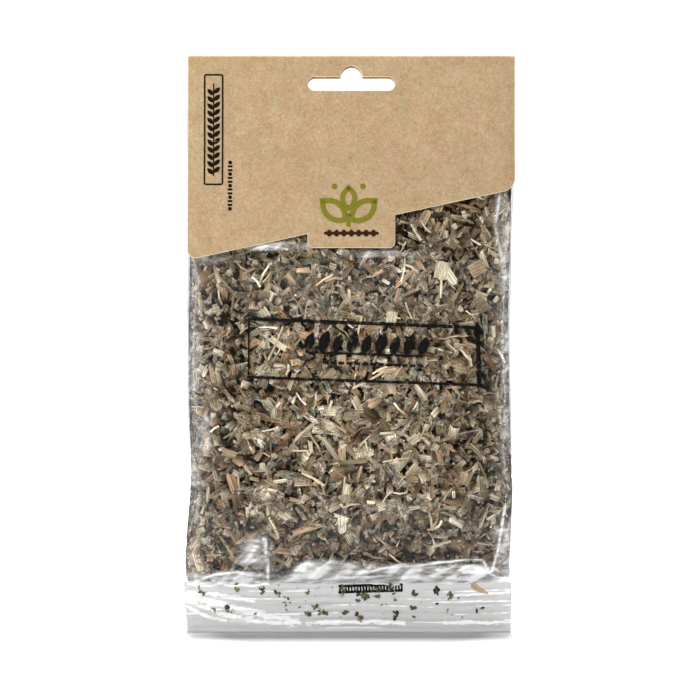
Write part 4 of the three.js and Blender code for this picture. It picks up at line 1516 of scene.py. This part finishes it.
def make_lap_seam():
    start_clean()
    bpy.ops.mesh.primitive_grid_add(x_subdivisions=16, y_subdivisions=190, size=2)
    seam = named("rear_lap_seam")
    extrude_sheet((0, 0, 1))
    across, along, layer = (points_of(seam) * MM).T
    x = across * (SEAM_HALF_WIDTH + 0.15 * waves(along * 80, 0 * along, *SEAM_EDGE))
    z = mix(SEAM_BOTTOM, SEAM_TOP, (along + 1) / 2)
    proud = mix(-0.05, SEAM_PROUD + 0.06 * waves(x, z, *SEAM_RIPPLE), layer)
    set_points(seam, np.column_stack([x, film_depth(1.0, x, z) + proud, z]))
    face_outwards()
    x, _, z = points_of(seam).T
    rim = np.exp(-(SEAM_HALF_WIDTH - np.abs(x)) / 0.35)
    paint(seam, "milk_and_sheen", np.clip(0.08 + 0.45 * rim + 0.06 * waves(x, z, *SEAM_MOTTLE), 0, 1))
    return seam


dress(make_lap_seam(), "clear_film", clear_film)

# %% [markdown]
# ## Prints
# The card and the film carry a few small prints. They are plain ornaments here: sprigs, leaves,
# dots and frames. A print is modelled flat, from a few shapes that are made once and copied. It is
# then cut into short pieces, laid on the surface below and given the thickness of an ink layer.

# %% Flat shapes for the prints
def finish_flat(name):
    """Turns the active flat mesh, made in the x-y plane in millimetres, into the x-z plane."""
    piece = named(name)
    select_only(piece)
    piece.rotation_euler = (math.pi / 2, 0, 0)
    piece.scale = (MM, MM, MM)
    bpy.ops.object.transform_apply()
    return piece


def hollow(shape, line):
    """Leaves only a border of a flat shape, as wide as line."""
    pick(shape, "FACE", lambda face: True)
    bpy.ops.mesh.inset(thickness=line, depth=0)
    bpy.ops.object.mode_set(mode="OBJECT")
    inner = max(shape.data.polygons, key=lambda face: len(face.vertices)).index
    pick(shape, "FACE", lambda face: face.index == inner)
    bpy.ops.mesh.delete(type="FACE")
    bpy.ops.object.mode_set(mode="OBJECT")


def flat_leaf(length, width, line=None):
    """A pointed leaf from its stalk at the origin upwards, solid or as an outline."""
    start_clean()
    bpy.ops.mesh.primitive_circle_add(vertices=28, radius=0.5, fill_type="NGON")
    leaf = bpy.context.object
    for vertex in leaf.data.vertices:
        up = vertex.co.y + 0.5
        narrow = 1 - abs(2 * up - 0.85) ** 3 * 0.5
        vertex.co.x *= width * max(0.0, narrow)
        vertex.co.y = up * length
    if line:
        hollow(leaf, line)
    return finish_flat("leaf_shape")


def flat_bar(width, height, corner=0.0, line=None):
    """A bar about the origin with round corners, solid or as an outline."""
    start_clean()
    bpy.ops.mesh.primitive_plane_add(size=1)
    bar = bpy.context.object
    bar.scale = (width, height, 1)
    bpy.ops.object.transform_apply()
    if corner:
        pick(bar, "VERT", lambda vertex: True)
        bpy.ops.mesh.bevel(offset=corner, segments=5, affect="VERTICES", profile=0.5)
        bpy.ops.object.mode_set(mode="OBJECT")
    if line:
        hollow(bar, line)
    return finish_flat("bar_shape")


def flat_dot(radius):
    start_clean()
    bpy.ops.mesh.primitive_circle_add(vertices=14, radius=radius, fill_type="NGON")
    return finish_flat("dot_shape")

# %% Copy, join and lay a print
def copy_at(shape, x, z, turn=0.0, size=1.0):
    """A copy of a flat shape with its own mesh, turned and set down at x and z."""
    twin = shape.copy()
    twin.data = shape.data.copy()
    bpy.context.scene.collection.objects.link(twin)
    across, depth, up = (points_of(twin) * size).T
    c, s = math.cos(turn), math.sin(turn)
    set_points(twin, np.column_stack([across * c - up * s + x, depth, across * s + up * c + z]))
    return twin


def join_shapes(name, copies, shapes):
    """Joins the copies into one flat print and removes the shapes that they were copied from."""
    for shape in shapes:
        bpy.data.objects.remove(shape, do_unlink=True)
    start_clean()
    for twin in copies:
        twin.select_set(True)
    bpy.context.view_layer.objects.active = copies[0]
    bpy.ops.object.join()
    return named(name)


INK_THICK = 0.03


def lay_print(piece, surface, proud, step=2.0):
    """Cuts a flat print into short lengths, lays it on a front surface and gives it thickness."""
    at = points_of(piece)
    bpy.ops.object.mode_set(mode="EDIT")
    for axis, normal in ((0, (1, 0, 0)), (2, (0, 0, 1))):
        for value in grid_lines(at[:, axis].min(), at[:, axis].max(), step)[1:-1]:
            bisect_all(Vector(normal) * value, normal)
    extrude_sheet((0, -MM, 0))
    x, layer, z = points_of(piece).T
    height = surface(x, z) + proud + INK_THICK * -layer
    set_points(piece, np.column_stack([x, -height, z]))
    return piece

# %% Surfaces under the prints
def card_front(x, z):
    return panel_inside(x, z, FRONT_EASE) + CARD_THICK


def film_front(x, z):
    """The film in front, raised to its highest point within half a millimetre."""
    near = (-0.5, 0.0, 0.5)
    return np.maximum.reduce([film_depth(-1.0, x + dx, z + dz) for dx in near for dz in near])


def seal_front(x, z):
    return seal_depth(-1.0, x, z)

# %% Inks
INK_PROUD = 0.06


def make_ink(name, colour, wear=0.0, grit=1500.0):
    """Printing ink: matt, thin, and broken by the fibres or the slip of the film under it."""
    ink = new_material(name)
    place = add_node(ink, "TexCoord").outputs["Object"]
    noise = add_node(ink, "TexNoise", Vector=place, Scale=grit, Detail=3.0, Roughness=0.7)
    full = linear(colour)
    thin = tuple(c * 1.25 + 0.002 for c in full[:3]) + (1,)
    tone = add_node(ink, "ValToRGB", {"stops": [(0.35, full), (0.75, thin)]}, Fac=noise)
    body = add_node(
        ink, "BsdfPrincipled", Base_Color=tone, Roughness=0.75, Specular_IOR_Level=0.08
    )
    clear = add_node(ink, "BsdfTransparent")
    low, high = 0.7 - wear, 0.74 - wear
    gaps = add_node(ink, "MapRange", Value=noise, From_Min=low, From_Max=high, To_Min=1.0, To_Max=0.3)
    return set_surface(ink, add_node(ink, "MixShader", Fac=gaps, at1=clear, at2=body))


olive_ink = make_ink("olive_printing_ink", "#6d6820")
brown_ink = make_ink("brown_printing_ink", "#2e1509")
black_ink = make_ink("black_printing_ink", "#0f0905")
stamp_ink = make_ink("black_film_ink", "#0b0a09", wear=0.16, grit=900.0)


def print_on_card(name, copies, shapes, ink):
    """Joins copies of flat shapes to a print and lays it on the card's front."""
    flat = join_shapes(name, copies, shapes)
    dress(lay_print(flat, card_front, INK_PROUD), "kraft_card", ink, smooth=False)

# %% Ornaments on the card
long_leaf = flat_leaf(13.0, 8.0, 2.0)
short_leaf = flat_leaf(9.8, 6.4, 1.9)
berry = flat_dot(1.1)
stem = flat_bar(1.7, 5.0, 0.5)
MARK_X, MARK_Z = -1.0, -57.6
sprout = [
    copy_at(long_leaf, MARK_X - 0.6, MARK_Z + 1.2, 0.88),
    copy_at(long_leaf, MARK_X + 0.6, MARK_Z + 1.2, -0.88),
    copy_at(short_leaf, MARK_X, MARK_Z + 4.9, 0.0),
    copy_at(stem, MARK_X, MARK_Z + 1.6),
    copy_at(berry, MARK_X - 5.2, MARK_Z + 14.0),
    copy_at(berry, MARK_X + 5.2, MARK_Z + 14.0),
]
print_on_card("print_sprout", sprout, (long_leaf, short_leaf, berry, stem), olive_ink)

lozenge = flat_leaf(2.7, 2.2)
dot = flat_dot(0.6)
ROW_STEP = 2.7
row = [copy_at(lozenge, x, -62.1) for x in np.arange(-8.1, 8.2, ROW_STEP)]
row += [copy_at(dot, x, -60.8) for x in np.arange(-9.45, 9.5, ROW_STEP)]
print_on_card("print_leaf_row", row, (lozenge, dot), brown_ink)

FRAME_X, FRAME_Z = -50.5, -22.7
frame_shape = flat_bar(7.2, 40.9, 0.9, 0.62)
small_leaf = flat_leaf(3.2, 1.65)
spine = flat_bar(0.5, 34.0)
upright = [copy_at(frame_shape, FRAME_X, FRAME_Z), copy_at(spine, FRAME_X, FRAME_Z)]
for number in range(12):
    z = FRAME_Z - 16.4 + number * 2.65
    for side in (-1, 1):
        lift = 0.6 * (side > 0)
        upright.append(copy_at(small_leaf, FRAME_X + 0.1 * side, z + lift, -side * 0.8, 0.98))
print_on_card("print_framed_sprig", upright, (frame_shape, small_leaf, spine), black_ink)

dash = flat_bar(1.8, 0.78, 0.25)
dot = flat_dot(0.72)
column = [copy_at(dash if n % 3 else dot, -44.4, -34.8 - n * 1.42) for n in range(13)]
print_on_card("print_dash_column", column, (dash, dot), black_ink)

# %% Ink on the film and on the seal
STAMP_CORNERS = ((-37.4, -92.1), (46.1, -95.3), (46.8, -116.3), (-37.6, -113.4))
STAMP_LINES = (1.3, 1.6, 1.05, 0.7)
STAMP_TURN = -0.038
bars, strokes = [], []
for number, width in enumerate(STAMP_LINES):
    (ax, az), (bx, bz) = STAMP_CORNERS[number], STAMP_CORNERS[(number + 1) % 4]
    bars.append(flat_bar(math.hypot(bx - ax, bz - az) + width, width, 0.2))
    strokes.append(copy_at(bars[-1], (ax + bx) / 2, (az + bz) / 2, math.atan2(bz - az, bx - ax)))
broad_leaf = flat_leaf(8.4, 4.0)
for number in range(9):
    x = -16.5 + number * 5.2
    z = -104.6 + STAMP_TURN * x
    strokes.append(copy_at(broad_leaf, x, z, -0.35, 0.88 + 0.12 * (number % 2)))
twig = flat_bar(43.0, 0.9, 0.3)
strokes.append(copy_at(twig, 4.6, -105.0, STAMP_TURN))
dash = flat_bar(2.1, 1.1, 0.3)
for number in range(13):
    x = -9.5 + number * 2.9
    strokes.append(copy_at(dash, x, -108.4 + STAMP_TURN * x, STAMP_TURN))
ink = join_shapes("print_film_sprig", strokes, (*bars, broad_leaf, twig, dash))
dress(lay_print(ink, film_front, 0.16, step=0.9), "clear_film", stamp_ink, smooth=False)

tick = flat_bar(0.75, 3.2, 0.2)
rail = flat_bar(23.6, 0.9, 0.3)
ticks = [copy_at(rail, 7.0, -192.1, 0.03), copy_at(rail, 7.0, -189.8, 0.03)]
ticks += [copy_at(tick, -4.2 + n * 1.08, -191.2 + 0.03 * n, 0.1 * (n % 3)) for n in range(22)]
ticks = join_shapes("print_seal_ticks", ticks, (tick, rail))
dress(lay_print(ticks, seal_front, 0.03, step=1.0), "clear_film", stamp_ink, smooth=False)

# %% [markdown]
# ## The glue lines
# Two thin strips of hot-melt glue hold the card to the pouch. They are hidden between the card and
# the film, and they keep the engineering model's own shape, so they only need their material.

# %% Glue
def make_glue():
    """Hot-melt glue: a cloudy wax of a pale amber colour with small bubbles in it."""
    glue = new_material("hot_melt_glue")
    place = add_node(glue, "TexCoord").outputs["Object"]
    cloud = add_node(glue, "TexNoise", Vector=place, Scale=600.0, Detail=2.0)
    stops = [(0.35, linear("#e3d7bb")), (0.65, linear("#f1ead6"))]
    tone = add_node(glue, "ValToRGB", {"stops": stops}, Fac=cloud)
    return set_surface(glue, add_node(glue, "BsdfPrincipled", Base_Color=tone, Roughness=0.4))


hot_melt_glue = make_glue()
for name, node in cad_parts.items():
    if name.startswith("glue_strip"):
        node.data.materials.clear()
        node.data.materials.append(hot_melt_glue)
        print(name, "has", node.data.materials[0].name)
